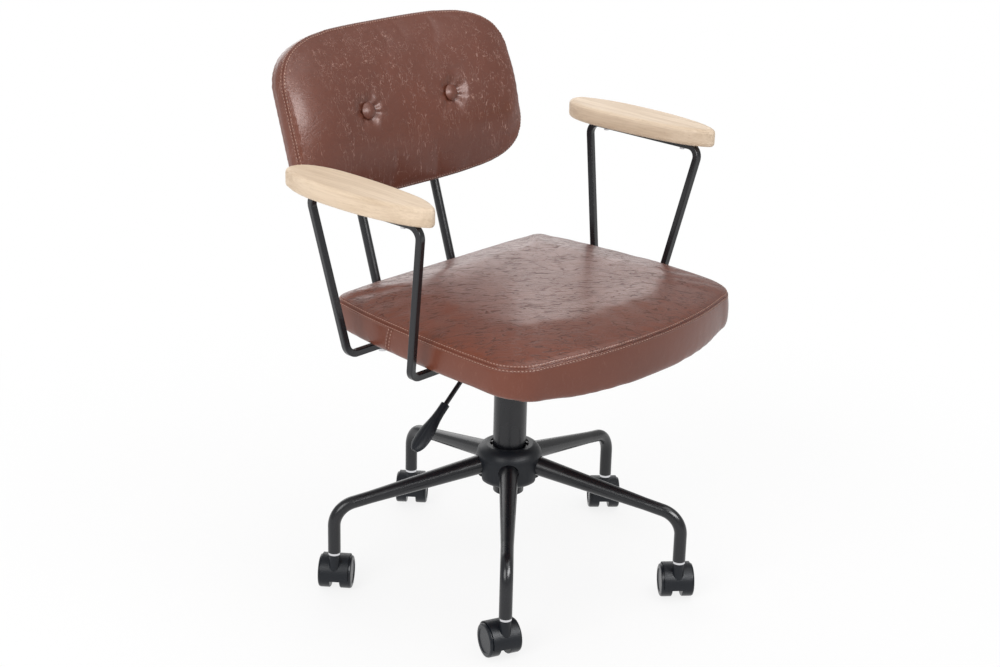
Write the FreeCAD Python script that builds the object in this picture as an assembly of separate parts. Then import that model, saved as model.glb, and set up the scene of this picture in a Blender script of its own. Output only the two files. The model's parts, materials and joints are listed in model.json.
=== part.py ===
import FreeCAD, Part
import math
import os

os.makedirs("parts", exist_ok=True)

# A swivel desk chair: five-legged caster base, gas column, padded seat with armrests, tufted back.
# Millimetres. The origin is on the floor under the column's axis, +Z is up, the seat faces -Y,
# and the sitter's right-hand side is -X.

V = FreeCAD.Vector
X_AXIS = V(1, 0, 0)
Y_AXIS = V(0, 1, 0)
Z_AXIS = V(0, 0, 1)
ORIGIN = V(0, 0, 0)
SIDES = {"right": -1, "left": 1}

# Base
LEGS = 5
FIRST_LEG_AZIMUTH = -47.5
STEM_CIRCLE_R = 271.0
LEG_ROOT_R = 30.0
LEG_ROOT_Z = 187.0
LEG_SLOPE = 11.5
LEG_ROOT_TUBE_R = 15.0
LEG_END_TUBE_R = 9.5
LEG_TAPER_END_R = 215.0
LEG_BEND_R = 36.0
LEG_END_Z = 66.0
LEG_WALL = 1.8
LEG_INTO_HUB = 12.0
SOCKET_HEIGHT = 24.0

HUB_R = 30.0
HUB_BOTTOM_Z = 150.0
HUB_TOP_Z = 209.0

# Hub cover: its outline from the mouth round the column down to its lower edge
COVER_WALL = 2.4
COVER_MOUTH_R = 29.5
COVER_LIP_R = 35.5
COVER_TOP_Z = 214.5
COVER_DOME_R = 49.5
COVER_DOME_Z = 192.0
COVER_DOME_BULGE = 5.0
COVER_SKIRT_R = 47.5
COVER_SKIRT_Z = 166.0
COVER_BASE_R = 38.0
COVER_BASE_Z = 156.0
COVER_BASE_BULGE = 2.3
COVER_LEG_GAP = 0.8
COVER_SLOT_HALF = 11.5

# Gas column
COLUMN_R = 25.0
COLUMN_WALL = 1.5
COLUMN_BOTTOM_Z = 137.0
COLUMN_TOP_Z = 340.0
TAPER_TOP_Z = 212.0
TAPER_ANGLE = 1.44
COLUMN_FLOOR = 4.0
ROD_R = 5.0
ROD_CLEARANCE = 0.08
CYLINDER_R = 14.0
CYLINDER_WALL = 1.5
CYLINDER_BOTTOM_Z = 166.0
CYLINDER_TOP_Z = 382.0
SOCKET_BOTTOM_Z = 346.0
SOCKET_TOP_Z = 380.0
BUSH_BOTTOM_Z = 240.0
BUSH_LIP = 2.0
SLIDE_CLEARANCE = 0.08
PISTON_Z = 282.0
PISTON_HEIGHT = 10.0
RACE_THICKNESS = 2.0
BALL_R = 2.4
BALLS = 10
BALL_CIRCLE_R = 12.0

# Casters
WHEEL_R = 25.0
WHEEL_INNER_X = 7.5
WHEEL_OUTER_X = 25.0
WHEEL_EDGE_R = 3.0
WHEEL_RIM_R = 18.5
WHEEL_DISH = 1.2
WHEEL_BORE_END_GAP = 0.4
WHEEL_CLEARANCE = 0.6
TRAIL = 17.0
HOOD_R = 27.5
HOOD_WALL = 1.6
HOOD_HALF_WIDTH = 20.5
HOOD_TOP_Z = 62.5
HOOD_FRONT_EDGE_Z = 19.5
HOOD_REAR_EDGE_Z = 29.0
WEB_HALF = 6.5
STEM_R = 5.0
STEM_BOTTOM_Z = 34.0
STEM_TOP_Z = 88.0
RING_R = 9.0
RING_GAP = 0.3
BOSS_R = 8.4
BOSS_BOTTOM_Z = 38.0
NOSE_TIP_R = 3.0
NOSE_BOTTOM_Z = 26.0
AXLE_R = 3.0
AXLE_END_X = 20.0
AXLE_CLEARANCE = 0.08
# where each hood's stem side points, as an azimuth measured like the legs'
CASTER_AZIMUTHS = [-22.0, -42.0, -44.0, -50.0, -52.0]

# Seat
SEAT_UNDER_Z = 414.0
SEAM_Z = 460.0
SEAT_TOP_Z = 482.0
SEAT_FRONT_Y = -277.0
SEAT_REAR_Y = 147.0
SEAT_FRONT_HALF = 252.0
SEAT_REAR_HALF = 220.0
SEAT_FRONT_BOW = 40.0
SEAT_SIDE_BOW = 11.0
SEAT_FRONT_CORNER_R = 62.0
SEAT_REAR_CORNER_R = 28.0
SEAT_CORNER_LEAD = 4.0
SEAT_CORNER_TRAIL = 6.0
SEAT_REAR_BOW = 2.0
SEAT_SEAM_INSET = 2.6
SEAT_CROWN_RUN = 130.0
SEAT_CROWN_POWER = 2.6
SEAT_CROWN_RINGS = 11
BOARD_THICKNESS = 12.0
BOARD_INSET = 9.0

# Mechanism under the seat
PAN_HALF_X = 48.0
PAN_HALF_Y = 52.0
PAN_BOTTOM_Z = 364.0
PAN_WALL = 2.5
FLANGE_HALF_X = 70.0
FLANGE_HALF_Y = 90.0
FLANGE_THICKNESS = 3.0
PAN_CORNER_R = 8.0
FLANGE_CORNER_R = 10.0
SOCKET_WALL = 6.0
EAR_HALF_X = 7.0
EAR_GAP_HALF = 7.0
EAR_THICKNESS = 2.5
LEVER_SLOT_HALF_Y = 6.5
LEVER_SLOT_HALF_Z = 12.0
LEVER_EYE_HALF = 6.0
LEVER_PIVOT_X = -36.0
LEVER_Z = 391.0
LEVER_ROD_R = 3.5
LEVER_DROP = 41.0
LEVER_BEND_X = -54.0
LEVER_ROD_END_X = -165.0
LEVER_BEND_R = 14.0
LEVER_HANDLE_LENGTH = 82.0
LEVER_HANDLE_HALF_WIDTH = 15.0
LEVER_HANDLE_OVERLAP = 34.0
# along the handle: distance, half width, half thickness
LEVER_HANDLE_SHAPE = [
    (0, 7.2, 6.0), (16, 7.4, 6.2), (30, 9.6, 6.4), (46, LEVER_HANDLE_HALF_WIDTH - 1.0, 6.2),
    (62, LEVER_HANDLE_HALF_WIDTH, 5.8), (75, 12.0, 4.8), (LEVER_HANDLE_LENGTH, 5.5, 3.0)]
RELEASE_PIN_R = 3.5
PIVOT_R = 2.0
PIVOT_CLEARANCE = 0.06

# Armrests
BAR = 10.0
BAR_CORNER_R = 1.6
BAR_BEND_R = 16.0
BAR_GAP = 1.2
ARM_TOP_X = 294.0
ARM_LOW_X = 266.0
ARM_TOP_Z = 640.0
ARM_LOW_Z = SEAT_UNDER_Z - BAR / 2 - BAR_GAP
ARM_TOP_REAR_Y = 114.0
ARM_TOP_FRONT_Y = -103.0
ARM_LOW_FRONT_Y = -57.0
ARM_LOW_REAR_Y = 68.0
ARM_INNER_X = 105.0
WOOD_THICKNESS = 27.0
WOOD_EDGE_R = 6.0
WOOD_SCREW_YS = (-70.0, 80.0)
WOOD_SCREW_DEPTH = 14.0
# the paddle's plan on the sitter's left: outer edge, front, inner edge, rear
WOOD_PLAN = [
    (311, 143), (326, 98), (331, 35), (329, -28), (321, -78), (309, -113), (296, -127), (281, -112),
    (267, -68), (260, 0), (258, 70), (266, 125), (287, 150)]
WOOD_MIDDLE = (294, 10)

# Back
BACK_LEAN = 18.0
BACK_Y = 246.0
BACK_Z = 694.0
BACK_HALF_WIDTH = 230.0
BACK_HALF_HEIGHT = 127.0
BACK_POWER = 3.75
BACK_WING = 25.0
BACK_CROWN = 26.0
BACK_SEAM_DEPTH = 4.0
BACK_SHOULDER_DEPTH = -3.0
BACK_SHOULDER = 12.8
BACK_SHOULDER_BULGE = 2.6
BACK_CHAMFER = 3.0
CUSHION_REAR = 22.0
BACK_BOARD_REAR = 34.0
BOARD_EDGE_INSET = 3.0
BRACKET_REAR = 38.0
BRACKET_HALF_WIDTH = 105.0
BRACKET_BOTTOM_S = -62.0
BRACKET_TOP_S = 32.0
POST_R = 7.0
POST_WALL = 1.5
POST_X = 80.0
POST_BEND_R = 35.0
POST_FRONT_Y = -5.0
POST_TOP_S = 35.0
BUTTON_X = 85.0
BUTTON_S = 5.0
BUTTON_R = 12.5
BUTTON_HEIGHT = 6.5
BUTTON_FLOOR_GAP = 0.3
BUTTON_RIM = 1.8
TUFT_R = 30.0
TUFT_DEPTH = 7.0
TUFT_BULGE = 1.0

# Fasteners
BOLT_R = 3.0
BOLT_HEAD_R = 5.5
BOLT_HEAD_HEIGHT = 3.5
BOLT_CLEARANCE = 0.2
BOLT_INTO_SEAT = 10.0
BOLT_INTO_BACK = 9.5
KEY_SHARE = 0.45
KEY_DEPTH_SHARE = 0.6
SCREW_R = 2.0
SCREW_HEAD_R = 4.0
SCREW_HEAD_HEIGHT = 2.5

WRITTEN = []


def save(name, shape):
    """Write one piece, as one solid or as a group of like solids."""
    if shape.ShapeType == "Compound" and len(shape.Solids) == 1:
        shape = shape.Solids[0]
    if not shape.isValid() or not shape.Solids:
        raise ValueError("bad piece " + name)
    shape.exportStep("parts/" + name + ".step")
    WRITTEN.append((name, len(shape.Solids), shape.Volume))


def disc(radius, bottom, top, centre=ORIGIN):
    """A vertical cylinder between two heights."""
    return Part.makeCylinder(radius, top - bottom, V(centre.x, centre.y, bottom), Z_AXIS)


def ring(outer, inner, bottom, top, centre=ORIGIN):
    """A vertical ring between two heights."""
    return disc(outer, bottom, top, centre).cut(disc(inner, bottom - 1, top + 1, centre))


def block(low, high):
    """A box between two corners."""
    return Part.makeBox(high[0] - low[0], high[1] - low[1], high[2] - low[2], V(*low))


def turned(points):
    """A solid of revolution about Z from a closed outline of (radius, height) points."""
    corners = [V(r, 0, z) for r, z in points]
    face = Part.Face(Part.makePolygon(corners + corners[:1]))
    return face.revolve(ORIGIN, Z_AXIS, 360)


def arc(start, through, end):
    """An edge along the circle through three points."""
    return Part.Arc(start, through, end).toShape()


def line(start, end):
    """A straight edge."""
    return Part.LineSegment(start, end).toShape()


def bowed(start, end, rise):
    """An arc in the XZ plane whose middle stands off its chord by a rise, outward as it descends."""
    chord = (end - start).normalize()
    return arc(start, (start + end) * 0.5 + chord.cross(Y_AXIS) * rise, end)


def placed(shape, azimuth, centre):
    """Turn a shape modelled at the origin about Z, then move it."""
    copy = shape.copy()
    copy.rotate(ORIGIN, Z_AXIS, azimuth)
    copy.translate(centre)
    return copy


def direction(azimuth):
    """The level unit vector at an azimuth: 0 is -Y and 90 is +X."""
    a = math.radians(azimuth)
    return V(math.sin(a), -math.cos(a), 0)


def bent(points, radius, profile):
    """Sweep a flat face along straight runs joined by bends of one radius."""
    face = profile
    pieces = []
    start = points[0]
    for i in range(1, len(points)):
        way = (points[i] - points[i - 1]).normalize()
        if i == len(points) - 1:
            pieces.append(face.extrude(points[i] - start))
            break
        onward = (points[i + 1] - points[i]).normalize()
        turn = way.getAngle(onward)
        setback = radius * math.tan(turn / 2)
        run = points[i] - way * setback - start
        pieces.append(face.extrude(run))
        face = face.copy()
        face.translate(run)
        start = start + run
        normal = way.cross(onward).normalize()
        centre = start + normal.cross(way) * radius
        pieces.append(face.revolve(centre, normal, math.degrees(turn)))
        face = face.copy()
        face.rotate(centre, normal, math.degrees(turn))
        start = points[i] + onward * setback
    return pieces[0].multiFuse(pieces[1:]).removeSplitter()


def square_face(centre, side, up, size, corner_r):
    """A square face with rounded corners, spanned by two unit vectors."""
    half = size / 2
    flat = half - corner_r
    edges = []
    corners = [(1, 1), (-1, 1), (-1, -1), (1, -1)]
    cut = corner_r * (1 - math.cos(math.pi / 4))
    for i, (a, b) in enumerate(corners):
        first, last = ((half, flat), (flat, half)) if a * b > 0 else ((flat, half), (half, flat))
        p = centre + side * (a * first[0]) + up * (b * first[1])
        q = centre + side * (a * last[0]) + up * (b * last[1])
        middle = centre + side * (a * (half - cut)) + up * (b * (half - cut))
        edges.append(arc(p, middle, q))
        c, d = corners[(i + 1) % 4]
        after = (half, flat) if c * d > 0 else (flat, half)
        edges.append(line(q, centre + side * (c * after[0]) + up * (d * after[1])))
    return Part.Face(Part.Wire(edges))


def round_face(centre, normal, radius):
    """A circular face."""
    return Part.Face(Part.Wire(Part.makeCircle(radius, centre, normal)))


def bolt(tip, way, length, radius=BOLT_R, head_r=BOLT_HEAD_R, head=BOLT_HEAD_HEIGHT):
    """A bolt whose shank ends at tip, pointing along way, with its head behind."""
    seat = tip - way * length
    shank = Part.makeCylinder(radius, length, seat, way)
    cap = Part.makeCylinder(head_r, head, seat - way * head, way)
    key = Part.makeCylinder(head_r * KEY_SHARE, head * KEY_DEPTH_SHARE, seat - way * head, way)
    return shank.fuse(cap).cut(key)


def leg_centre(azimuth):
    """The foot of a caster's swivel axis."""
    return direction(azimuth) * STEM_CIRCLE_R


def base_leg(azimuth):
    """A hollow tapered tube that slopes out from the hub and bends down to its caster."""
    slope = math.radians(LEG_SLOPE)
    out = V(0, -math.cos(slope), -math.sin(slope))
    down = V(0, 0, -1)
    turn = math.radians(90 - LEG_SLOPE)
    root = V(0, -LEG_ROOT_R, LEG_ROOT_Z)
    corner = root + out * ((STEM_CIRCLE_R - LEG_ROOT_R) / math.cos(slope))
    setback = LEG_BEND_R * math.tan(turn / 2)
    taper_end = root + out * ((LEG_TAPER_END_R - LEG_ROOT_R) / math.cos(slope))
    bend_start = corner - out * setback
    bend_axis = out.cross(down).normalize()
    centre = bend_start + bend_axis.cross(out) * LEG_BEND_R
    end = V(0, -STEM_CIRCLE_R, LEG_END_Z)
    bend_end = corner + down * setback

    def tube(shrink, past):
        inner_root = root - out * (past + LEG_INTO_HUB)
        taper = (taper_end - inner_root).Length
        grow = (LEG_ROOT_TUBE_R - LEG_END_TUBE_R) / (taper_end - root).Length
        root_r = LEG_END_TUBE_R + grow * taper - shrink
        cone = Part.makeCone(root_r, LEG_END_TUBE_R - shrink, taper, inner_root, out)
        straight = Part.makeCylinder(LEG_END_TUBE_R - shrink, (bend_start - taper_end).Length, taper_end, out)
        circle = round_face(bend_start, out, LEG_END_TUBE_R - shrink)
        elbow = circle.revolve(centre, bend_axis, math.degrees(turn))
        drop = Part.makeCylinder(LEG_END_TUBE_R - shrink, (bend_end - end).Length + past, bend_end, down)
        return cone.multiFuse([straight, elbow, drop]).removeSplitter()

    leg = tube(0, 0).cut(tube(LEG_WALL, 5))
    leg = leg.cut(disc(HUB_R, HUB_BOTTOM_Z - 30, HUB_TOP_Z + 30))
    return placed(leg, azimuth, ORIGIN)


def column_taper_r(height):
    """The column's outer radius at a height on its lower taper."""
    return COLUMN_R - max(0, TAPER_TOP_Z - height) * math.tan(math.radians(TAPER_ANGLE))


def base_hub():
    """The steel hub that the legs are welded to, bored to the column's taper."""
    return turned([
        (column_taper_r(HUB_BOTTOM_Z), HUB_BOTTOM_Z), (HUB_R, HUB_BOTTOM_Z),
        (HUB_R, HUB_TOP_Z), (column_taper_r(HUB_TOP_Z), HUB_TOP_Z)])


def hub_cover(legs):
    """The moulded dome over the hub, arched over each leg and open underneath."""

    def form(shrink):
        axis_top = V(0, 0, COVER_TOP_Z - shrink)
        lip = V(COVER_LIP_R, 0, COVER_TOP_Z - shrink)
        dome = V(COVER_DOME_R - shrink, 0, COVER_DOME_Z)
        skirt = V(COVER_SKIRT_R - shrink, 0, COVER_SKIRT_Z)
        base = V(COVER_BASE_R - shrink, 0, COVER_BASE_Z)
        axis_low = V(0, 0, COVER_BASE_Z)
        outline = [
            line(axis_top, lip), bowed(lip, dome, COVER_DOME_BULGE), line(dome, skirt),
            bowed(skirt, base, COVER_BASE_BULGE), line(base, axis_low), line(axis_low, axis_top)]
        return Part.Face(Part.Wire(outline)).revolve(ORIGIN, Z_AXIS, 360)

    shell = form(0).cut(form(COVER_WALL)).cut(disc(COVER_MOUTH_R, COVER_BASE_Z, COVER_TOP_Z + 1))
    slope = math.radians(LEG_SLOPE)
    out = V(0, -math.cos(slope), -math.sin(slope))
    grow = (LEG_ROOT_TUBE_R - LEG_END_TUBE_R) * math.cos(slope) / (LEG_TAPER_END_R - LEG_ROOT_R)
    reach = COVER_DOME_R - LEG_ROOT_R + COVER_SLOT_HALF
    root_r = LEG_ROOT_TUBE_R + COVER_LEG_GAP
    tunnel = Part.makeCone(root_r, root_r - reach * grow, reach, V(0, -LEG_ROOT_R, LEG_ROOT_Z), out)
    slot = block((-COVER_SLOT_HALF, -COVER_DOME_R, COVER_BASE_Z), (COVER_SLOT_HALF, -LEG_ROOT_R, LEG_ROOT_Z))
    for azimuth in legs:
        shell = shell.cut(placed(tunnel, azimuth, ORIGIN)).cut(placed(slot, azimuth, ORIGIN))
    return shell


def caster_sockets(legs):
    """A plastic sleeve pressed into the end of every leg, gripping the caster's stem."""
    sleeves = []
    for azimuth in legs:
        sleeve = ring(LEG_END_TUBE_R - LEG_WALL, STEM_R + ROD_CLEARANCE, LEG_END_Z,
                      LEG_END_Z + SOCKET_HEIGHT, leg_centre(azimuth))
        sleeves.append(sleeve)
    return Part.makeCompound(sleeves)


def caster(azimuth, centre):
    """One twin-wheel caster: its stem side faces azimuth and its axle trails behind."""
    outside = WHEEL_OUTER_X + HOOD_R
    stem = disc(STEM_R, STEM_BOTTOM_Z, STEM_TOP_Z).fuse(disc(RING_R, HOOD_TOP_Z, LEG_END_Z - RING_GAP))

    def across(radius, low, high):
        return Part.makeCylinder(radius, high - low, V(low, TRAIL, WHEEL_R), X_AXIS)

    def below(height, front):
        return block((-outside, front, -outside), (outside, TRAIL + outside, height))

    shell = across(HOOD_R, -HOOD_HALF_WIDTH, HOOD_HALF_WIDTH)
    shell = shell.cut(across(HOOD_R - HOOD_WALL, -outside, outside))
    shell = shell.cut(below(HOOD_REAR_EDGE_Z, TRAIL)).cut(below(HOOD_FRONT_EDGE_Z, -outside))
    web = across(HOOD_R - HOOD_WALL / 2, -WEB_HALF, WEB_HALF).cut(below(HOOD_FRONT_EDGE_Z, -outside))
    boss = disc(BOSS_R, BOSS_BOTTOM_Z, HOOD_TOP_Z)
    nose = Part.makeCone(NOSE_TIP_R, BOSS_R, BOSS_BOTTOM_Z - NOSE_BOTTOM_Z, V(0, 0, NOSE_BOTTOM_Z), Z_AXIS)
    hood = shell.fuse(web).fuse(boss).fuse(nose)
    for low, high in ((WHEEL_INNER_X - WHEEL_CLEARANCE, outside), (-outside, WHEEL_CLEARANCE - WHEEL_INNER_X)):
        hood = hood.cut(across(WHEEL_R + WHEEL_CLEARANCE, low, high))
    hood = hood.cut(disc(STEM_R, STEM_BOTTOM_Z, STEM_TOP_Z)).cut(across(AXLE_R, -outside, outside))
    axle = across(AXLE_R, -AXLE_END_X, AXLE_END_X)

    def wheel(sign):
        low, high = WHEEL_INNER_X, WHEEL_OUTER_X
        bore_r = AXLE_R + AXLE_CLEARANCE
        cut = WHEEL_EDGE_R * (1 - math.sqrt(0.5))
        face = high - WHEEL_DISH
        bore_end = AXLE_END_X + WHEEL_BORE_END_GAP
        body = turned([
            (bore_r, low), (WHEEL_R - 1, low), (WHEEL_R, low + 1), (WHEEL_R, high - WHEEL_EDGE_R),
            (WHEEL_R - cut, high - cut), (WHEEL_R - WHEEL_EDGE_R, high), (WHEEL_RIM_R, high),
            (WHEEL_RIM_R - WHEEL_DISH, face), (0, face), (0, bore_end), (bore_r, bore_end)])
        body.rotate(ORIGIN, Y_AXIS, 90 * sign)
        body.translate(V(0, TRAIL, WHEEL_R))
        return body

    pieces = {
        "stem": stem, "hood": hood, "axle": axle,
        "wheel_right": wheel(-1), "wheel_left": wheel(1)}
    return {name: placed(shape, azimuth, centre) for name, shape in pieces.items()}


def column_tube():
    """The outer tube of the gas column, tapered to grip the hub, with a floor for the bearing."""
    outer = turned([
        (0, COLUMN_BOTTOM_Z), (column_taper_r(COLUMN_BOTTOM_Z), COLUMN_BOTTOM_Z),
        (COLUMN_R, TAPER_TOP_Z), (COLUMN_R, COLUMN_TOP_Z), (0, COLUMN_TOP_Z)])
    floor_z = COLUMN_BOTTOM_Z + COLUMN_FLOOR
    inner = turned([
        (0, floor_z), (column_taper_r(floor_z) - COLUMN_WALL, floor_z),
        (COLUMN_R - COLUMN_WALL, TAPER_TOP_Z), (COLUMN_R - COLUMN_WALL, COLUMN_TOP_Z + 1),
        (0, COLUMN_TOP_Z + 1)])
    return outer.cut(inner).cut(disc(ROD_R + 0.3, COLUMN_BOTTOM_Z - 1, floor_z + 1))


def guide_bush():
    """The plastic bush in the column's mouth that the pressure cylinder slides in."""
    bore = CYLINDER_R + SLIDE_CLEARANCE
    sleeve = ring(COLUMN_R - COLUMN_WALL, bore, BUSH_BOTTOM_Z, COLUMN_TOP_Z)
    lip = ring(COLUMN_R - 0.5, bore, COLUMN_TOP_Z, COLUMN_TOP_Z + BUSH_LIP)
    return sleeve.fuse(lip).removeSplitter()


def bearing():
    """The thrust bearing under the rod: a fixed race and a caged ring of balls."""
    race_z = COLUMN_BOTTOM_Z + COLUMN_FLOOR
    ball_z = race_z + RACE_THICKNESS + BALL_R + 0.05
    race = ring(16.0, ROD_R + 0.6, race_z, race_z + RACE_THICKNESS)
    cage = ring(15.5, ROD_R + 1.2, ball_z - 0.8, ball_z + 0.8)
    balls = []
    for i in range(BALLS):
        at = direction(360.0 * i / BALLS) * BALL_CIRCLE_R + V(0, 0, ball_z)
        balls.append(Part.makeSphere(BALL_R, at))
        cage = cage.cut(Part.makeSphere(BALL_R + 0.05, at))
    return race, Part.makeCompound([cage] + balls)


def piston_rod():
    """The rod that the chair turns on: a bottom flange over the bearing and a piston at the top."""
    race_z = COLUMN_BOTTOM_Z + COLUMN_FLOOR
    flange_z = race_z + RACE_THICKNESS + 2 * BALL_R + 0.1
    rod = disc(ROD_R, COLUMN_BOTTOM_Z - 9, PISTON_Z + PISTON_HEIGHT)
    flange = disc(16.0, flange_z, flange_z + RACE_THICKNESS)
    piston = disc(CYLINDER_R - CYLINDER_WALL - 0.1, PISTON_Z, PISTON_Z + PISTON_HEIGHT)
    groove = ring(ROD_R + 1, ROD_R - 0.8, COLUMN_BOTTOM_Z - 4, COLUMN_BOTTOM_Z - 2.4)
    return rod.fuse(flange).fuse(piston).cut(groove).removeSplitter()


def retaining_clip():
    """The washer and open clip under the column's floor that keep the rod in."""
    washer = ring(11.0, ROD_R + 0.1, COLUMN_BOTTOM_Z - 2.2, COLUMN_BOTTOM_Z - 0.3)
    clip = ring(9.0, ROD_R - 0.8, COLUMN_BOTTOM_Z - 4, COLUMN_BOTTOM_Z - 2.4)
    clip = clip.cut(block((-3.6, 0, COLUMN_BOTTOM_Z - 5), (3.6, 20, COLUMN_BOTTOM_Z - 1)))
    return Part.makeCompound([washer, clip])


def pressure_cylinder():
    """The sliding cylinder, tapered at the top to grip the seat mechanism, with its valve bore."""
    grip_r = CYLINDER_R - (CYLINDER_TOP_Z - SOCKET_BOTTOM_Z) * math.tan(math.radians(TAPER_ANGLE))
    outer = turned([
        (0, CYLINDER_BOTTOM_Z), (CYLINDER_R, CYLINDER_BOTTOM_Z), (CYLINDER_R, SOCKET_BOTTOM_Z),
        (grip_r, CYLINDER_TOP_Z), (0, CYLINDER_TOP_Z)])
    chamber = disc(CYLINDER_R - CYLINDER_WALL, CYLINDER_BOTTOM_Z + 10, SOCKET_BOTTOM_Z - 6)
    rod_bore = disc(ROD_R + ROD_CLEARANCE, CYLINDER_BOTTOM_Z - 1, CYLINDER_BOTTOM_Z + 11)
    valve_bore = disc(RELEASE_PIN_R + ROD_CLEARANCE, SOCKET_BOTTOM_Z - 7, CYLINDER_TOP_Z + 1)
    return outer.cut(chamber).cut(rod_bore).cut(valve_bore)


def release_pin():
    """The valve button at the top of the cylinder that the lever presses."""
    return disc(RELEASE_PIN_R, SOCKET_BOTTOM_Z - 2, LEVER_Z - LEVER_ROD_R - 0.3)


def taper_socket():
    """The steel socket in the mechanism that the cylinder wedges into."""
    slope = math.tan(math.radians(TAPER_ANGLE))
    top_r = CYLINDER_R - (SOCKET_TOP_Z - SOCKET_BOTTOM_Z) * slope
    return turned([
        (CYLINDER_R, SOCKET_BOTTOM_Z), (CYLINDER_R + SOCKET_WALL, SOCKET_BOTTOM_Z),
        (CYLINDER_R + SOCKET_WALL, SOCKET_TOP_Z), (top_r, SOCKET_TOP_Z)])


def flange_bolt_points():
    """Where bolts hold the mechanism to the seat board."""
    return [V(x, y, 0) for x in (-50, 50) for y in (-74, 74)]


def seat_mechanism():
    """The pressed steel pan under the seat: a flanged box that carries the socket and the lever."""
    flange_z = SEAT_UNDER_Z - FLANGE_THICKNESS

    def rounded_box(half_x, half_y, bottom, top, radius):
        box = block((-half_x, -half_y, bottom), (half_x, half_y, top))
        upright = [e for e in box.Edges if abs(e.tangentAt(e.FirstParameter).z) > 0.9]
        return box.makeFillet(radius, upright)

    pan = rounded_box(PAN_HALF_X, PAN_HALF_Y, PAN_BOTTOM_Z, flange_z, PAN_CORNER_R)
    inside = rounded_box(PAN_HALF_X - PAN_WALL, PAN_HALF_Y - PAN_WALL, PAN_BOTTOM_Z + PAN_WALL,
                         SEAT_UNDER_Z + 1, PAN_CORNER_R - PAN_WALL)
    flange = rounded_box(FLANGE_HALF_X, FLANGE_HALF_Y, flange_z, SEAT_UNDER_Z, FLANGE_CORNER_R)
    socket_hole = disc(CYLINDER_R + SOCKET_WALL, PAN_BOTTOM_Z - 1, PAN_BOTTOM_Z + PAN_WALL + 1)
    slot = block((-PAN_HALF_X - 1, -LEVER_SLOT_HALF_Y, LEVER_Z - LEVER_SLOT_HALF_Z),
                 (-PAN_HALF_X + PAN_WALL + 1, LEVER_SLOT_HALF_Y, LEVER_Z + LEVER_SLOT_HALF_Z))
    body = pan.fuse(flange).cut(inside).cut(socket_hole).cut(slot)
    ears = []
    for y in (-EAR_GAP_HALF - EAR_THICKNESS, EAR_GAP_HALF):
        ear = block((LEVER_PIVOT_X - EAR_HALF_X, y, PAN_BOTTOM_Z + PAN_WALL),
                    (LEVER_PIVOT_X + EAR_HALF_X, y + EAR_THICKNESS, LEVER_Z + EAR_HALF_X))
        ears.append(ear.cut(lever_pivot_pin()))
    body = body.multiFuse(ears)
    for at in flange_bolt_points():
        body = body.cut(disc(BOLT_R + BOLT_CLEARANCE, flange_z - 1, SEAT_UNDER_Z + 1, at))
    return body.removeSplitter()


def pivot_line(radius, half_length):
    """A cylinder along the release lever's pivot."""
    return Part.makeCylinder(radius, 2 * half_length, V(LEVER_PIVOT_X, -half_length, LEVER_Z), Y_AXIS)


def lever_pivot_pin():
    """The pin that the release lever rocks on."""
    return pivot_line(PIVOT_R, EAR_GAP_HALF + EAR_THICKNESS)


def lever_way():
    """The direction in which the lever slopes down and out."""
    drop = math.radians(LEVER_DROP)
    return V(-math.cos(drop), 0, -math.sin(drop))


def lever_end():
    """Where the lever's rod ends, inside its handle."""
    corner = V(LEVER_BEND_X, 0, LEVER_Z)
    return corner + lever_way() * ((LEVER_BEND_X - LEVER_ROD_END_X) / math.cos(math.radians(LEVER_DROP)))


def lever_rod():
    """The bent rod: its inner end lies on the valve button, its pivot eye rocks on the pin."""
    path = [V(5, 0, LEVER_Z), V(LEVER_BEND_X, 0, LEVER_Z), lever_end()]
    rod = bent(path, LEVER_BEND_R, round_face(path[0], V(-1, 0, 0), LEVER_ROD_R))
    eye = pivot_line(LEVER_EYE_HALF, LEVER_EYE_HALF)
    return rod.fuse(eye).cut(pivot_line(PIVOT_R + PIVOT_CLEARANCE, EAR_GAP_HALF)).removeSplitter()


def lever_handle():
    """The moulded paddle: a round collar that widens into a flat oval blade."""
    way = lever_way()
    flat = Y_AXIS
    up = way.cross(flat)
    start = lever_end() - way * LEVER_HANDLE_OVERLAP
    wires = []
    for along, wide, thick in LEVER_HANDLE_SHAPE:
        c = start + way * along
        quarter = math.sqrt(0.5)
        spots = [c + flat * (wide * math.cos(a)) + up * (thick * math.sin(a))
                 for a in [math.radians(d) for d in (0, 90, 180, 270)]]
        mids = [c + flat * (wide * quarter * sx) + up * (thick * quarter * sy)
                for sx, sy in ((1, 1), (-1, 1), (-1, -1), (1, -1))]
        wires.append(Part.Wire([arc(spots[i], mids[i], spots[(i + 1) % 4]) for i in range(4)]))
    handle = Part.makeLoft(wires, True, False)
    rod_hole = Part.makeCylinder(LEVER_ROD_R, LEVER_HANDLE_OVERLAP + 1, start - way, way)
    return handle.cut(rod_hole)


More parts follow.
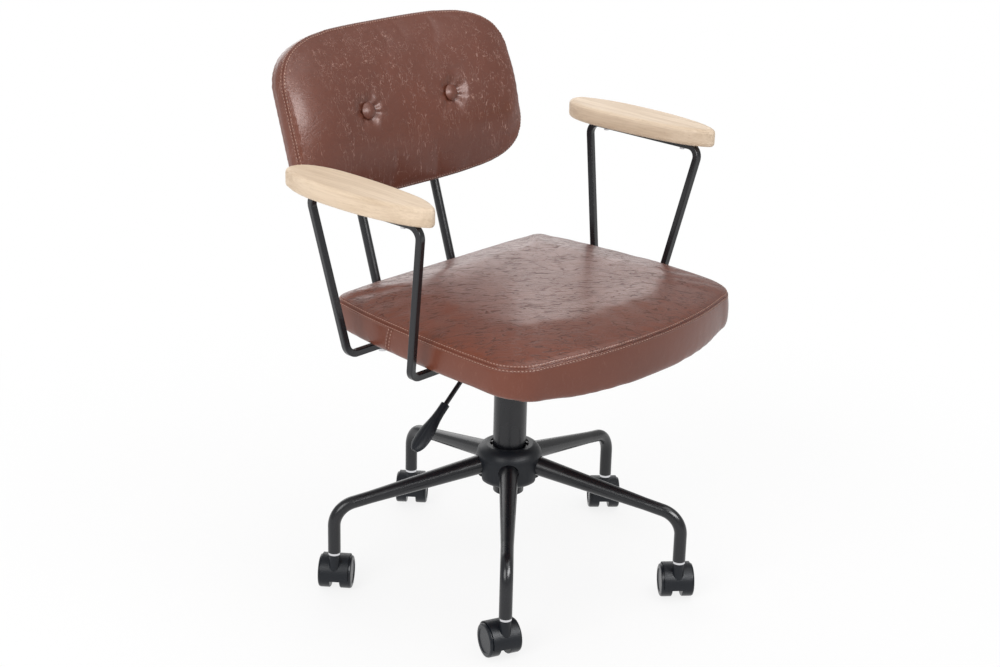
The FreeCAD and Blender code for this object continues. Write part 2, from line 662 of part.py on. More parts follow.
def seat_outline(height, inset):
    """The seat's plan at a height: bowed front and sides, straight rear, four round corners."""
    front = SEAT_FRONT_Y + inset + SEAT_FRONT_BOW
    rear = SEAT_REAR_Y - inset
    fx = SEAT_FRONT_HALF - inset
    rx = SEAT_REAR_HALF - inset
    fr = max(SEAT_FRONT_CORNER_R - inset * 0.4, 10)
    rr = max(SEAT_REAR_CORNER_R - inset * 0.4, 10)
    k = 1 - math.sqrt(0.5)

    def mirror(p):
        return V(-p.x, p.y, p.z)

    # each corner starts on the side, turns through its middle and ends on the front or the rear
    fs = V(fx - SEAT_CORNER_LEAD, front + fr, height)
    fm = V(fx - fr * k - 1, front + fr * k - 1, height)
    fe = V(fx - fr, front - SEAT_CORNER_TRAIL, height)
    rs = V(rx, rear - rr, height)
    rm = V(rx - rr * k, rear - rr * k, height)
    re = V(rx - rr, rear, height)
    side_mid = V((fs.x + rs.x) / 2 + SEAT_SIDE_BOW, (fs.y + rs.y) / 2, height)
    front_mid = V(0, SEAT_FRONT_Y + inset, height)
    rear_mid = V(0, rear + SEAT_REAR_BOW, height)
    return Part.Wire([
        arc(mirror(fe), front_mid, fe), arc(fe, fm, fs), arc(fs, side_mid, rs), arc(rs, rm, re),
        arc(re, rear_mid, mirror(re)), arc(mirror(re), mirror(rm), mirror(rs)),
        arc(mirror(rs), mirror(side_mid), mirror(fs)), arc(mirror(fs), mirror(fm), mirror(fe))])


def seat_cushion():
    """The padded seat: a boxed side drawn in at its seam, and a crowned top."""
    # height, how far in from the widest outline
    rings = [(SEAT_UNDER_Z, 5.0), (SEAT_UNDER_Z + 2, 2.4), (SEAT_UNDER_Z + 7, 0.6), (SEAT_UNDER_Z + 16, 0.0),
             (SEAM_Z - 14, 0.2), (SEAM_Z - 5, 1.2), (SEAM_Z, SEAT_SEAM_INSET)]
    # the crown's rings start close together at the seam, where it is steepest
    for step in range(1, SEAT_CROWN_RINGS + 1):
        run = (step / SEAT_CROWN_RINGS) ** 1.7
        rise = (1 - (1 - run) ** SEAT_CROWN_POWER) ** (1 / SEAT_CROWN_POWER)
        rings.append((SEAM_Z + (SEAT_TOP_Z - SEAM_Z) * rise, SEAT_SEAM_INSET + SEAT_CROWN_RUN * run))
    form = Part.makeLoft([seat_outline(z, inset) for z, inset in rings], True, True)
    pocket = Part.Face(seat_outline(SEAT_UNDER_Z - 1, BOARD_INSET)).extrude(V(0, 0, BOARD_THICKNESS + 1))
    return form.cut(pocket)


def seat_board():
    """The plywood board in the seat's underside, drilled for every bolt."""
    board = Part.Face(seat_outline(SEAT_UNDER_Z, BOARD_INSET)).extrude(V(0, 0, BOARD_THICKNESS))
    for at in flange_bolt_points() + arm_bolt_points() + post_bolt_points():
        board = board.cut(disc(BOLT_R, SEAT_UNDER_Z - 1, SEAT_UNDER_Z + BOLT_INTO_SEAT, at))
    return board


def arm_bolt_points():
    """Where bolts hold the armrest bars under the seat board."""
    return [V(s * x, y, 0) for s in (-1, 1) for x in (125, 200) for y in (ARM_LOW_FRONT_Y, ARM_LOW_REAR_Y)]


def post_bolt_points():
    """Where bolts hold the back posts under the seat board."""
    return [V(s * POST_X, y, 0) for s in (-1, 1) for y in (15, 105)]


def arm_bar(side):
    """The square bar bent into one armrest's loop, flat under the wood, its two ends under the seat."""
    s = SIDES[side]
    middle = V(s * ARM_TOP_X, (ARM_TOP_REAR_Y + ARM_TOP_FRONT_Y) / 2, ARM_TOP_Z)
    face = square_face(middle, X_AXIS, Z_AXIS, BAR, BAR_CORNER_R)
    halves = []
    for top_y, low_y in ((ARM_TOP_REAR_Y, ARM_LOW_REAR_Y), (ARM_TOP_FRONT_Y, ARM_LOW_FRONT_Y)):
        path = [middle, V(s * ARM_TOP_X, top_y, ARM_TOP_Z), V(s * ARM_LOW_X, low_y, ARM_LOW_Z),
                V(s * ARM_INNER_X, low_y, ARM_LOW_Z)]
        halves.append(bent(path, BAR_BEND_R, face))
    bar = halves[0].fuse(halves[1]).removeSplitter()
    for at in arm_bolt_points():
        if at.x * s > 0:
            bar = bar.cut(disc(BOLT_R + BOLT_CLEARANCE, ARM_LOW_Z - BAR, ARM_LOW_Z + BAR, at))
    for y in WOOD_SCREW_YS:
        at = V(s * ARM_TOP_X, y, 0)
        bar = bar.cut(disc(SCREW_R + BOLT_CLEARANCE, ARM_TOP_Z - BAR, ARM_TOP_Z + BAR, at))
    return bar


def armrest_outline(side, height, inset):
    """The paddle's closed plan curve, drawn in by an inset along its normals."""
    s = SIDES[side]
    base = Part.BSplineCurve()
    base.interpolate([V(s * x, y, height) for x, y in WOOD_PLAN], PeriodicFlag=True)
    middle = V(s * WOOD_MIDDLE[0], WOOD_MIDDLE[1], height)
    spots = []
    for x, y in WOOD_PLAN:
        spot = V(s * x, y, height)
        inward = base.tangent(base.parameter(spot))[0].cross(Z_AXIS).normalize()
        if inward.dot(middle - spot) < 0:
            inward = inward * -1
        spots.append(spot + inward * inset)
    curve = Part.BSplineCurve()
    curve.interpolate(spots, PeriodicFlag=True)
    return Part.Wire([curve.toShape()])


def armrest(side):
    """The wooden paddle: bowed outside, nearly straight inside, rounded over all round."""
    s = SIDES[side]
    low = ARM_TOP_Z + BAR / 2
    high = low + WOOD_THICKNESS
    r = WOOD_EDGE_R
    rings = [(low, r), (low + 0.13 * r, 0.5 * r), (low + 0.5 * r, 0.13 * r), (low + r, 0), (high - r, 0),
             (high - 0.5 * r, 0.13 * r), (high - 0.13 * r, 0.5 * r), (high, r)]
    paddle = Part.makeLoft([armrest_outline(side, z, inset) for z, inset in rings], True, True)
    for y in WOOD_SCREW_YS:
        paddle = paddle.cut(disc(SCREW_R, low - 1, low + WOOD_SCREW_DEPTH + 1, V(s * ARM_TOP_X, y, 0)))
    return paddle


def armrest_screws():
    """The screws up through each bar into its armrest."""
    screws = []
    for s in SIDES.values():
        for y in WOOD_SCREW_YS:
            tip = V(s * ARM_TOP_X, y, ARM_TOP_Z + BAR / 2 + WOOD_SCREW_DEPTH)
            length = BAR + WOOD_SCREW_DEPTH
            screws.append(bolt(tip, Z_AXIS, length, SCREW_R, SCREW_HEAD_R, SCREW_HEAD_HEIGHT))
    return Part.makeCompound(screws)


def back_point(x, along_normal, up_panel):
    """A point of the back: x, distance behind the front seam, and distance up the leaning panel."""
    lean = math.radians(BACK_LEAN)
    n = along_normal - BACK_WING * (x / BACK_HALF_WIDTH) ** 2
    return V(x, BACK_Y + up_panel * math.sin(lean) + n * math.cos(lean),
             BACK_Z + up_panel * math.cos(lean) - n * math.sin(lean))


def back_half_height(x, shrink):
    """Half the back's height at x, from a rounded oblong with bowed edges."""
    wide = BACK_HALF_WIDTH - shrink
    share = min(abs(x) / wide, 1.0)
    return (BACK_HALF_HEIGHT - shrink) * (1 - share ** BACK_POWER) ** (1 / BACK_POWER)


def back_stations(shrink):
    """The x of each section across the back, closer together near its ends."""
    shares = (0.0, 0.22, 0.44, 0.62, 0.77, 0.88, 0.95, 0.985)
    wide = BACK_HALF_WIDTH - shrink
    return [-wide * f for f in reversed(shares[1:])] + [wide * f for f in shares]


def back_section(x):
    """The cushion's section at x: flat rear, rounded edges, crowned front."""
    h = back_half_height(x, 0)
    end = (abs(x) / BACK_HALF_WIDTH) ** 6
    crown = BACK_CROWN * (1 - 0.75 * end)
    rear = CUSHION_REAR
    bulge = BACK_SHOULDER_BULGE

    def at(n, s):
        return back_point(x, n, s)

    def half(s):
        edge, shoulder = s * h, s * (h - BACK_SHOULDER)
        return [at(rear, s * (h - BACK_CHAMFER)), at(rear - BACK_CHAMFER, edge), at(BACK_SEAM_DEPTH, edge),
                at((BACK_SEAM_DEPTH + BACK_SHOULDER_DEPTH) / 2 - bulge, (edge + shoulder) / 2 + s * bulge),
                at(BACK_SHOULDER_DEPTH, shoulder)]

    top, low = half(1), half(-1)
    return Part.Wire([
        line(top[0], top[1]), line(top[1], top[2]), arc(top[2], top[3], top[4]),
        arc(top[4], at(-crown, 0), low[4]), arc(low[4], low[3], low[2]),
        line(low[2], low[1]), line(low[1], low[0]), line(low[0], top[0])])


def button_centre(side):
    """Where a tuft button's underside sits, sunk in its dimple."""
    return back_point(side * BUTTON_X, TUFT_DEPTH - BACK_CROWN, BUTTON_S)


def back_normal():
    """The unit vector out of the back's front face at its middle."""
    lean = math.radians(BACK_LEAN)
    return V(0, -math.cos(lean), math.sin(lean))


def back_cushion():
    """The back's padding with its crown and two sewn dimples."""
    form = Part.makeLoft([back_section(x) for x in back_stations(0)], True, False)
    floor_end = V(BUTTON_R + 1, 0, 0)
    rim = V(TUFT_R, 0, TUFT_DEPTH)
    over_rim = V(TUFT_R, 0, 2 * TUFT_DEPTH)
    over_axis = V(0, 0, 2 * TUFT_DEPTH)
    for side in (-1, 1):
        # the dimple's floor is flat under the button, and its wall eases out into the crown
        profile = Part.Wire([
            line(ORIGIN, floor_end), bowed(floor_end, rim, TUFT_BULGE), line(rim, over_rim),
            line(over_rim, over_axis), line(over_axis, ORIGIN)])
        dimple = Part.Face(profile).revolve(ORIGIN, Z_AXIS, 360)
        dimple.Placement = FreeCAD.Placement(button_centre(side), FreeCAD.Rotation(Z_AXIS, back_normal()))
        form = form.cut(dimple)
    return form


def tuft_buttons():
    """The two covered buttons: a domed cap on a short shank sunk in the padding."""
    buttons = []
    base = V(0, 0, BUTTON_FLOOR_GAP)
    edge = V(BUTTON_R - BUTTON_RIM, 0, BUTTON_FLOOR_GAP)
    shoulder = V(BUTTON_R - BUTTON_RIM / 2, 0, BUTTON_FLOOR_GAP + 1.5 * BUTTON_RIM)
    crown = V(0, 0, BUTTON_HEIGHT)
    for side in (-1, 1):
        cap = Part.Face(Part.Wire([
            line(base, edge), arc(edge, V(BUTTON_R, 0, BUTTON_FLOOR_GAP + 0.8 * BUTTON_RIM), shoulder),
            bowed(crown, shoulder, BUTTON_RIM / 2), line(crown, base)]))
        button = cap.revolve(ORIGIN, Z_AXIS, 360)
        button.Placement = FreeCAD.Placement(button_centre(side), FreeCAD.Rotation(Z_AXIS, back_normal()))
        buttons.append(button)
    return Part.makeCompound(buttons)


def curved_plate(front, rear, stations, half_height):
    """A plate that follows the back's curve between two depths, from a half height at each x."""
    wires = []
    for x in stations:
        low, high = half_height(x)
        corners = [back_point(x, front, low), back_point(x, front, high), back_point(x, rear, high),
                   back_point(x, rear, low)]
        wires.append(Part.makePolygon(corners + corners[:1]))
    return Part.makeLoft(wires, True, False)


def back_bolt_points():
    """Where bolts go through the posts and the bracket into the back board."""
    return [(s * POST_X, up) for s in (-1, 1) for up in (-45.0, 15.0)]


def back_board():
    """The curved plywood board behind the padding."""

    def reach(x):
        h = back_half_height(x, BOARD_EDGE_INSET)
        return -h, h

    board = curved_plate(CUSHION_REAR, BACK_BOARD_REAR, back_stations(BOARD_EDGE_INSET), reach)
    for x, up in back_bolt_points():
        board = board.cut(Part.makeCylinder(BOLT_R, BOLT_INTO_BACK + 1, back_point(x, BACK_BOARD_REAR + 1, up),
                                            back_normal()))
    return board


def back_bracket():
    """The curved steel plate across the posts that the back board is bolted to."""
    stations = [BRACKET_HALF_WIDTH * share for share in (-1, -0.5, 0, 0.5, 1)]
    plate = curved_plate(BACK_BOARD_REAR, BRACKET_REAR, stations,
                         lambda x: (BRACKET_BOTTOM_S, BRACKET_TOP_S))
    for x, up in back_bolt_points():
        plate = plate.cut(bolt_way(x, up))
    return plate


def bolt_way(x, up):
    """The clearance hole of one back bolt, through the post and the bracket."""
    start = back_point(x, BRACKET_REAR + 2 * POST_R + 1, up)
    length = BRACKET_REAR - BACK_BOARD_REAR + 2 * POST_R + 2
    return Part.makeCylinder(BOLT_R + BOLT_CLEARANCE, length, start, back_normal())


def back_post(side):
    """The round tube that runs back under the seat and leans up behind the back."""
    s = SIDES[side]
    depth = BRACKET_REAR + POST_R
    low_z = SEAT_UNDER_Z - POST_R
    lean = math.radians(BACK_LEAN)
    top = back_point(s * POST_X, depth, POST_TOP_S)
    base = back_point(s * POST_X, depth, 0)
    bend = base + V(0, math.sin(lean), math.cos(lean)) * ((low_z - base.z) / math.cos(lean))
    path = [V(s * POST_X, POST_FRONT_Y, low_z), bend, top]
    solid = bent(path, POST_BEND_R, round_face(path[0], Y_AXIS, POST_R))
    bore = bent(path, POST_BEND_R, round_face(path[0], Y_AXIS, POST_R - POST_WALL))
    tube = solid.cut(bore)
    for at in post_bolt_points():
        if at.x * s > 0:
            tube = tube.cut(disc(BOLT_R + BOLT_CLEARANCE, low_z - 2 * POST_R, low_z + 2 * POST_R, at))
    for x, up in back_bolt_points():
        if x * s > 0:
            tube = tube.cut(bolt_way(x, up))
    return tube


def frame_bolts():
    """All the like bolts that hold the mechanism, the armrest bars, the posts and the back."""
    bolts = []
    tip_z = SEAT_UNDER_Z + BOLT_INTO_SEAT
    for points, depth in ((flange_bolt_points(), FLANGE_THICKNESS), (arm_bolt_points(), BAR + 2 * BAR_GAP),
                          (post_bolt_points(), 2 * POST_R)):
        for at in points:
            bolts.append(bolt(V(at.x, at.y, tip_z), Z_AXIS, BOLT_INTO_SEAT + depth))
    for x, up in back_bolt_points():
        tip = back_point(x, BACK_BOARD_REAR - BOLT_INTO_BACK, up)
        bolts.append(bolt(tip, back_normal(), BRACKET_REAR + 2 * POST_R - BACK_BOARD_REAR + BOLT_INTO_BACK))
    return Part.makeCompound(bolts)


def write_base():
    """The base: hub, legs, sockets, cover and the fixed part of the column."""
    azimuths = [FIRST_LEG_AZIMUTH + 360.0 / LEGS * i for i in range(LEGS)]
    save("base_hub", base_hub())
    for number, azimuth in enumerate(azimuths, 1):
        save("leg_%d" % number, base_leg(azimuth))
    save("caster_sockets", caster_sockets(azimuths))
    save("hub_cover", hub_cover(azimuths))
    save("column_tube", column_tube())
    save("guide_bush", guide_bush())
    for number, azimuth in enumerate(azimuths, 1):
        for name, shape in caster(CASTER_AZIMUTHS[number - 1], leg_centre(azimuth)).items():
            save("caster_%d_%s" % (number, name), shape)


def write_column():
    """The turning and sliding parts of the gas column."""
    race, balls = bearing()
    save("bearing_race", race)
    save("bearing_balls", balls)
    save("piston_rod", piston_rod())
    save("retaining_clip", retaining_clip())
    save("pressure_cylinder", pressure_cylinder())
    save("release_pin", release_pin())


def write_seat():
    """The seat with its mechanism, lever, armrests and fasteners."""
    save("taper_socket", taper_socket())
    save("seat_mechanism", seat_mechanism())
    save("lever_pivot_pin", lever_pivot_pin())
    save("lever_rod", lever_rod())
    save("lever_handle", lever_handle())
    save("seat_board", seat_board())
    save("seat_cushion", seat_cushion())
    for side in SIDES:
        save("arm_bar_" + side, arm_bar(side))
        save("armrest_" + side, armrest(side))
    save("armrest_screws", armrest_screws())
    save("frame_bolts", frame_bolts())


def write_back():
    """The backrest and its posts."""
    for side in SIDES:
        save("back_post_" + side, back_post(side))
    save("back_bracket", back_bracket())
    save("back_board", back_board())
    save("back_cushion", back_cushion())
    save("tuft_buttons", tuft_buttons())


write_base()
write_column()
write_seat()
write_back()
for piece_name, count, volume in WRITTEN:
    print("%-22s solids %2d  volume %9.0f mm3" % (piece_name, count, volume))
print(len(WRITTEN), "nodes")
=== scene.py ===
"""The looks of a swivel desk chair: leather cushions, seams, wood, enamel and plastic on a pale stage."""
import json
import math

import bmesh
import bpy
from bpy.props import FloatProperty, FloatVectorProperty, IntProperty, PointerProperty
from mathutils import Matrix, Vector
from mathutils.bvhtree import BVHTree


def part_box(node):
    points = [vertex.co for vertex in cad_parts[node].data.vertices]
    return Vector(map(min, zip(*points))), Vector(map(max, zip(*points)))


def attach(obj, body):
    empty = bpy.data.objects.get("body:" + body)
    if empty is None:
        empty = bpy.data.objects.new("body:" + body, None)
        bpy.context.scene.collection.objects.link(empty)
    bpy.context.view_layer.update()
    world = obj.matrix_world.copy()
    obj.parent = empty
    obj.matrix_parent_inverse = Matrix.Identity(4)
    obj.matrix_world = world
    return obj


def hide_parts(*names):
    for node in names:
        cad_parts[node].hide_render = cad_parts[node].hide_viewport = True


bl_info = {
    "name": "Swivel Chair",
    "version": (1, 0, 0),
    "blender": (4, 5, 0),
    "location": "View3D > Sidebar > Swivel Chair",
    "description": "Dresses a packed swivel chair with leather, seams, wood, enamel and plastic",
    "category": "Object",
}

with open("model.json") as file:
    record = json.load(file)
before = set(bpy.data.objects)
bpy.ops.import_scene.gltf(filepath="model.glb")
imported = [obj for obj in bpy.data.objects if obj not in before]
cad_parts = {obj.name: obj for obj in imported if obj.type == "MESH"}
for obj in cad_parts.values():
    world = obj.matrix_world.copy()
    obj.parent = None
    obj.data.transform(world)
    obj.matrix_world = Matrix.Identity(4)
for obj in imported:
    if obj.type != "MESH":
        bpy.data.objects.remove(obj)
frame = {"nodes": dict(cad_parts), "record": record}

SEAT_LOW, SEAT_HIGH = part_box("seat_cushion")
BACK_LOW, BACK_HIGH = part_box("back_cushion")
BUTTON_LOW, BUTTON_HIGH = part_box("tuft_buttons")
SIMULATION_FRAMES = 20
STITCHES_AT_ONCE = 30


class PaddingSettings(bpy.types.PropertyGroup):
    """Sizes of the padded seat and back."""

    seat_voxel: FloatProperty(
        name="Seat Remesh", description="Cell size of the seat before it is inflated", default=0.005,
        unit="LENGTH")
    back_voxel: FloatProperty(
        name="Back Remesh", description="Cell size of the back before it is inflated", default=0.004,
        unit="LENGTH")
    shrink: FloatProperty(
        name="Starting Shrink", description="How much smaller a pad starts before it swells", default=0.002,
        unit="LENGTH")
    pressure: FloatProperty(
        name="Pressure", description="Air pressure of the cloth simulation", default=4.0)
    swell_limit: FloatProperty(
        name="Swell Limit", description="How far a point of a pad may move", default=0.004, unit="LENGTH")
    seat_seam_height: FloatProperty(
        name="Seat Seam Height", description="Height of the seat's seam above its underside", default=0.0455,
        unit="LENGTH")
    corner_sag: FloatProperty(
        name="Corner Sag", description="How far the seat's seam drops at its front corners", default=0.005,
        unit="LENGTH")
    front_droop: FloatProperty(
        name="Front Droop", description="How far the underside hangs at the middle of the front",
        default=0.013, unit="LENGTH")
    front_crown: FloatProperty(
        name="Front Crown", description="How far the seam rises at the middle of the front", default=0.006,
        unit="LENGTH")
    rear_reach: FloatProperty(
        name="Rear Reach", description="How far the padding bulges past the seat's rear edge",
        default=0.0090, unit="LENGTH")
    rear_widening: FloatProperty(
        name="Rear Widening", description="Share by which the padding widens at the rear", default=0.03)
    back_lean: FloatProperty(
        name="Back Lean", description="Angle of the back from upright", default=math.radians(18),
        subtype="ANGLE", unit="ROTATION")
    back_wing: FloatProperty(
        name="Back Wing", description="How far the back's ends curve forward", default=0.025, unit="LENGTH")
    back_seam_depth: FloatProperty(
        name="Back Seam Depth", description="How far behind the back's seam plane its seam runs",
        default=0.003, unit="LENGTH")
    back_widening: FloatProperty(
        name="Back Widening", description="Share by which the padding widens the back", default=0.012)
    back_corner_reach: FloatProperty(
        name="Back Corner Reach", description="How far the padding fills the back's lower corners",
        default=0.005, unit="LENGTH")
    face_swell: FloatProperty(
        name="Face Swell", description="How far the middle of the back's face swells", default=0.006,
        unit="LENGTH")
    button_drop: FloatProperty(
        name="Button Drop", description="How far the padding carries the buttons down", default=0.008,
        unit="LENGTH")
    fold_height: FloatProperty(
        name="Fold Height", description="Height of the folds that radiate from each button", default=0.0012,
        unit="LENGTH")
    fold_count: IntProperty(
        name="Folds", description="Folds around each button", default=7)


class SeamSettings(bpy.types.PropertyGroup):
    """Sizes of the seams and their stitches."""

    step: FloatProperty(
        name="Step", description="Spacing of the points along a seam", default=0.001, unit="LENGTH")
    ridge: FloatProperty(
        name="Ridge", description="Height of the folded leather beside a seam", default=0.0013, unit="LENGTH")
    groove: FloatProperty(
        name="Groove", description="Depth of a seam", default=0.0018, unit="LENGTH")
    row_offset: FloatProperty(
        name="Row Offset", description="Distance of each row of stitches from the seam", default=0.003,
        unit="LENGTH")
    pitch: FloatProperty(
        name="Pitch", description="Distance from one stitch to the next", default=0.005, unit="LENGTH")
    stitch_length: FloatProperty(
        name="Stitch Length", description="Length of a stitch", default=0.0036, unit="LENGTH")
    thread_radius: FloatProperty(
        name="Thread Radius", description="Radius of the thread", default=0.0006, unit="LENGTH")
    join_y: FloatProperty(
        name="Side Join", description="Where the seat's side band is joined, along Y", default=0.011,
        unit="LENGTH")


class FinishSettings(bpy.types.PropertyGroup):
    """Colours of the finishes."""

    leather: FloatVectorProperty(
        name="Leather", description="Leather's main colour", default=(0.162, 0.045, 0.024), subtype="COLOR")
    # painted shade as well as mottling: this colour darkens the leather at random and is painted into the creases
    # as shade
    leather_mottle_and_crease_shade: FloatVectorProperty(
        name="Leather Dark", description="Leather in creases and hollows", default=(0.040, 0.011, 0.006),
        subtype="COLOR")
    leather_scuff: FloatVectorProperty(
        name="Leather Scuff", description="Leather's fine light marks", default=(0.50, 0.29, 0.23),
        subtype="COLOR")
    # painted highlight as well as thread: this colour is paler than the dark brown thread, so that it stands in
    # for the glints along the stitches
    thread: FloatVectorProperty(
        name="Thread", description="Stitching thread", default=(0.42, 0.25, 0.19), subtype="COLOR")
    wood: FloatVectorProperty(
        name="Wood", description="Armrest wood", default=(0.74, 0.59, 0.44), subtype="COLOR")
    wood_dark: FloatVectorProperty(
        name="Wood Grain", description="Armrest wood's darker grain", default=(0.55, 0.41, 0.28),
        subtype="COLOR")
    plywood: FloatVectorProperty(
        name="Plywood", description="Board under the seat", default=(0.42, 0.28, 0.16), subtype="COLOR")
    plywood_dark: FloatVectorProperty(
        name="Plywood Grain", description="Board's darker grain", default=(0.28, 0.17, 0.09),
        subtype="COLOR")
    enamel: FloatVectorProperty(
        name="Enamel", description="Black painted steel", default=(0.007, 0.0075, 0.010), subtype="COLOR")
    plastic: FloatVectorProperty(
        name="Plastic", description="Black moulded plastic", default=(0.007, 0.009, 0.013), subtype="COLOR")
    steel: FloatVectorProperty(
        name="Steel", description="Bare steel", default=(0.62, 0.62, 0.64), subtype="COLOR")
    bush: FloatVectorProperty(
        name="Bush", description="Pale guide bush", default=(0.72, 0.72, 0.69), subtype="COLOR")


class StageSettings(bpy.types.PropertyGroup):
    """The floor, the lamps and the camera."""

    floor_size: FloatProperty(name="Floor", description="Width of the floor", default=30.0, unit="LENGTH")
    floor: FloatVectorProperty(
        name="Floor Colour", description="Pale floor", default=(0.9, 0.9, 0.9), subtype="COLOR")
    room_light: FloatProperty(
        name="Room Light", description="Strength of the even light from all round", default=0.55)
    key_power: FloatProperty(name="Key", description="Watts of the large lamp at the left", default=41.0)
    rear_power: FloatProperty(name="Rear", description="Watts of the low lamp behind", default=27.0)
    fill_power: FloatProperty(name="Fill", description="Watts of the lamp above", default=35.0)
    front_power: FloatProperty(
        name="Front", description="Watts of the wide lamp in front that only reflections show", default=72.0)
    camera_azimuth: FloatProperty(
        name="Camera Azimuth", description="Direction of the camera round the chair",
        default=math.radians(-47.32), subtype="ANGLE", unit="ROTATION")
    camera_elevation: FloatProperty(
        name="Camera Elevation", description="Height of the camera above the horizon",
        default=math.radians(20.637), subtype="ANGLE", unit="ROTATION")
    camera_roll: FloatProperty(
        name="Camera Roll", description="Turn of the camera about its own axis", default=math.radians(1.406),
        subtype="ANGLE", unit="ROTATION")
    camera_distance: FloatProperty(
        name="Camera Distance", description="From the camera to the point it looks at", default=2.834,
        unit="LENGTH")
    camera_target: FloatVectorProperty(
        name="Camera Target", description="The point in the middle of the picture",
        default=(-0.027, 0.0, 0.397), subtype="XYZ", unit="LENGTH")
    camera_lens: FloatProperty(
        name="Lens", description="Focal length for a 36 mm wide sensor, in millimetres", default=69.57)


# Node building

def add(tree, kind, inputs=None, **settings):
    """A shader node with its settings, and its inputs set to values or joined to sockets."""
    made = tree.nodes.new(kind)
    for key, value in settings.items():
        setattr(made, key, value)
    for key, value in (inputs or {}).items():
        if isinstance(value, bpy.types.NodeSocket):
            tree.links.new(value, made.inputs[key])
        else:
            made.inputs[key].default_value = value
    return made


def math_node(tree, operation, first, second=0.0):
    """A Math node's result."""
    return add(tree, "ShaderNodeMath", {0: first, 1: second}, operation=operation).outputs[0]


def stretch(tree, vector, scale):
    """A vector multiplied axis by axis."""
    return add(tree, "ShaderNodeVectorMath", {0: vector, 1: scale}, operation="MULTIPLY").outputs[0]


def warped(tree, vector, scale, amount):
    """A vector pushed about by soft noise."""
    noise = add(tree, "ShaderNodeTexNoise", {"Vector": vector, "Scale": scale, "Detail": 2.0})
    centred = add(tree, "ShaderNodeVectorMath", {0: noise.outputs["Color"], 1: (0.5, 0.5, 0.5)},
                  operation="SUBTRACT").outputs[0]
    push = add(tree, "ShaderNodeVectorMath", {0: centred, "Scale": amount}, operation="SCALE").outputs[0]
    return add(tree, "ShaderNodeVectorMath", {0: vector, 1: push}, operation="ADD").outputs[0]


def ramp(tree, value, low, high, start=0.0, end=1.0):
    """A value eased from one range to another."""
    made = add(tree, "ShaderNodeMapRange",
               {"Value": value, "From Min": low, "From Max": high, "To Min": start, "To Max": end},
               interpolation_type="SMOOTHSTEP")
    return made.outputs["Result"]


def cracks(tree, vector, scale, width):
    """1 along the edges of a cell pattern and 0 elsewhere."""
    cells = add(tree, "ShaderNodeTexVoronoi", {"Vector": vector, "Scale": scale}, feature="DISTANCE_TO_EDGE")
    return ramp(tree, cells.outputs["Distance"], 0.0, width, 1.0, 0.0)


def hairs(tree, vector, scale, width):
    """1 along the thin contour lines of a noise and 0 elsewhere."""
    noise = add(tree, "ShaderNodeTexNoise", {"Vector": vector, "Scale": scale, "Detail": 1.0}).outputs["Fac"]
    away = math_node(tree, "ABSOLUTE", math_node(tree, "SUBTRACT", noise, 0.5))
    return ramp(tree, away, 0.3 * width, width, 1.0, 0.0)


def patches(tree, vector, scale, low, high):
    """Soft patches of noise from 0 to 1."""
    noise = add(tree, "ShaderNodeTexNoise", {"Vector": vector, "Scale": scale, "Detail": 3.0})
    return ramp(tree, noise.outputs["Fac"], low, high)


def mixed(tree, factor, first, second):
    """Two colours mixed by a factor."""
    made = add(tree, "ShaderNodeMix", data_type="RGBA")
    made.inputs["Factor"].default_value = 0.5
    for socket, value in (("Factor", factor), ("A", first), ("B", second)):
        target = [s for s in made.inputs if s.name == socket and s.enabled][0]
        if isinstance(value, bpy.types.NodeSocket):
            tree.links.new(value, target)
        else:
            target.default_value = value
    return [s for s in made.outputs if s.enabled][0]


def new_group(name, inputs, outputs):
    """An empty node group with named sockets: its tree, its input node and its output node."""
    tree = bpy.data.node_groups.new(name, "ShaderNodeTree")
    for label, kind, default in inputs:
        socket = tree.interface.new_socket(name=label, in_out="INPUT", socket_type="NodeSocket" + kind)
        if default is not None:
            socket.default_value = default
    for label, kind in outputs:
        tree.interface.new_socket(name=label, in_out="OUTPUT", socket_type="NodeSocket" + kind)
    return tree, tree.nodes.new("NodeGroupInput"), tree.nodes.new("NodeGroupOutput")


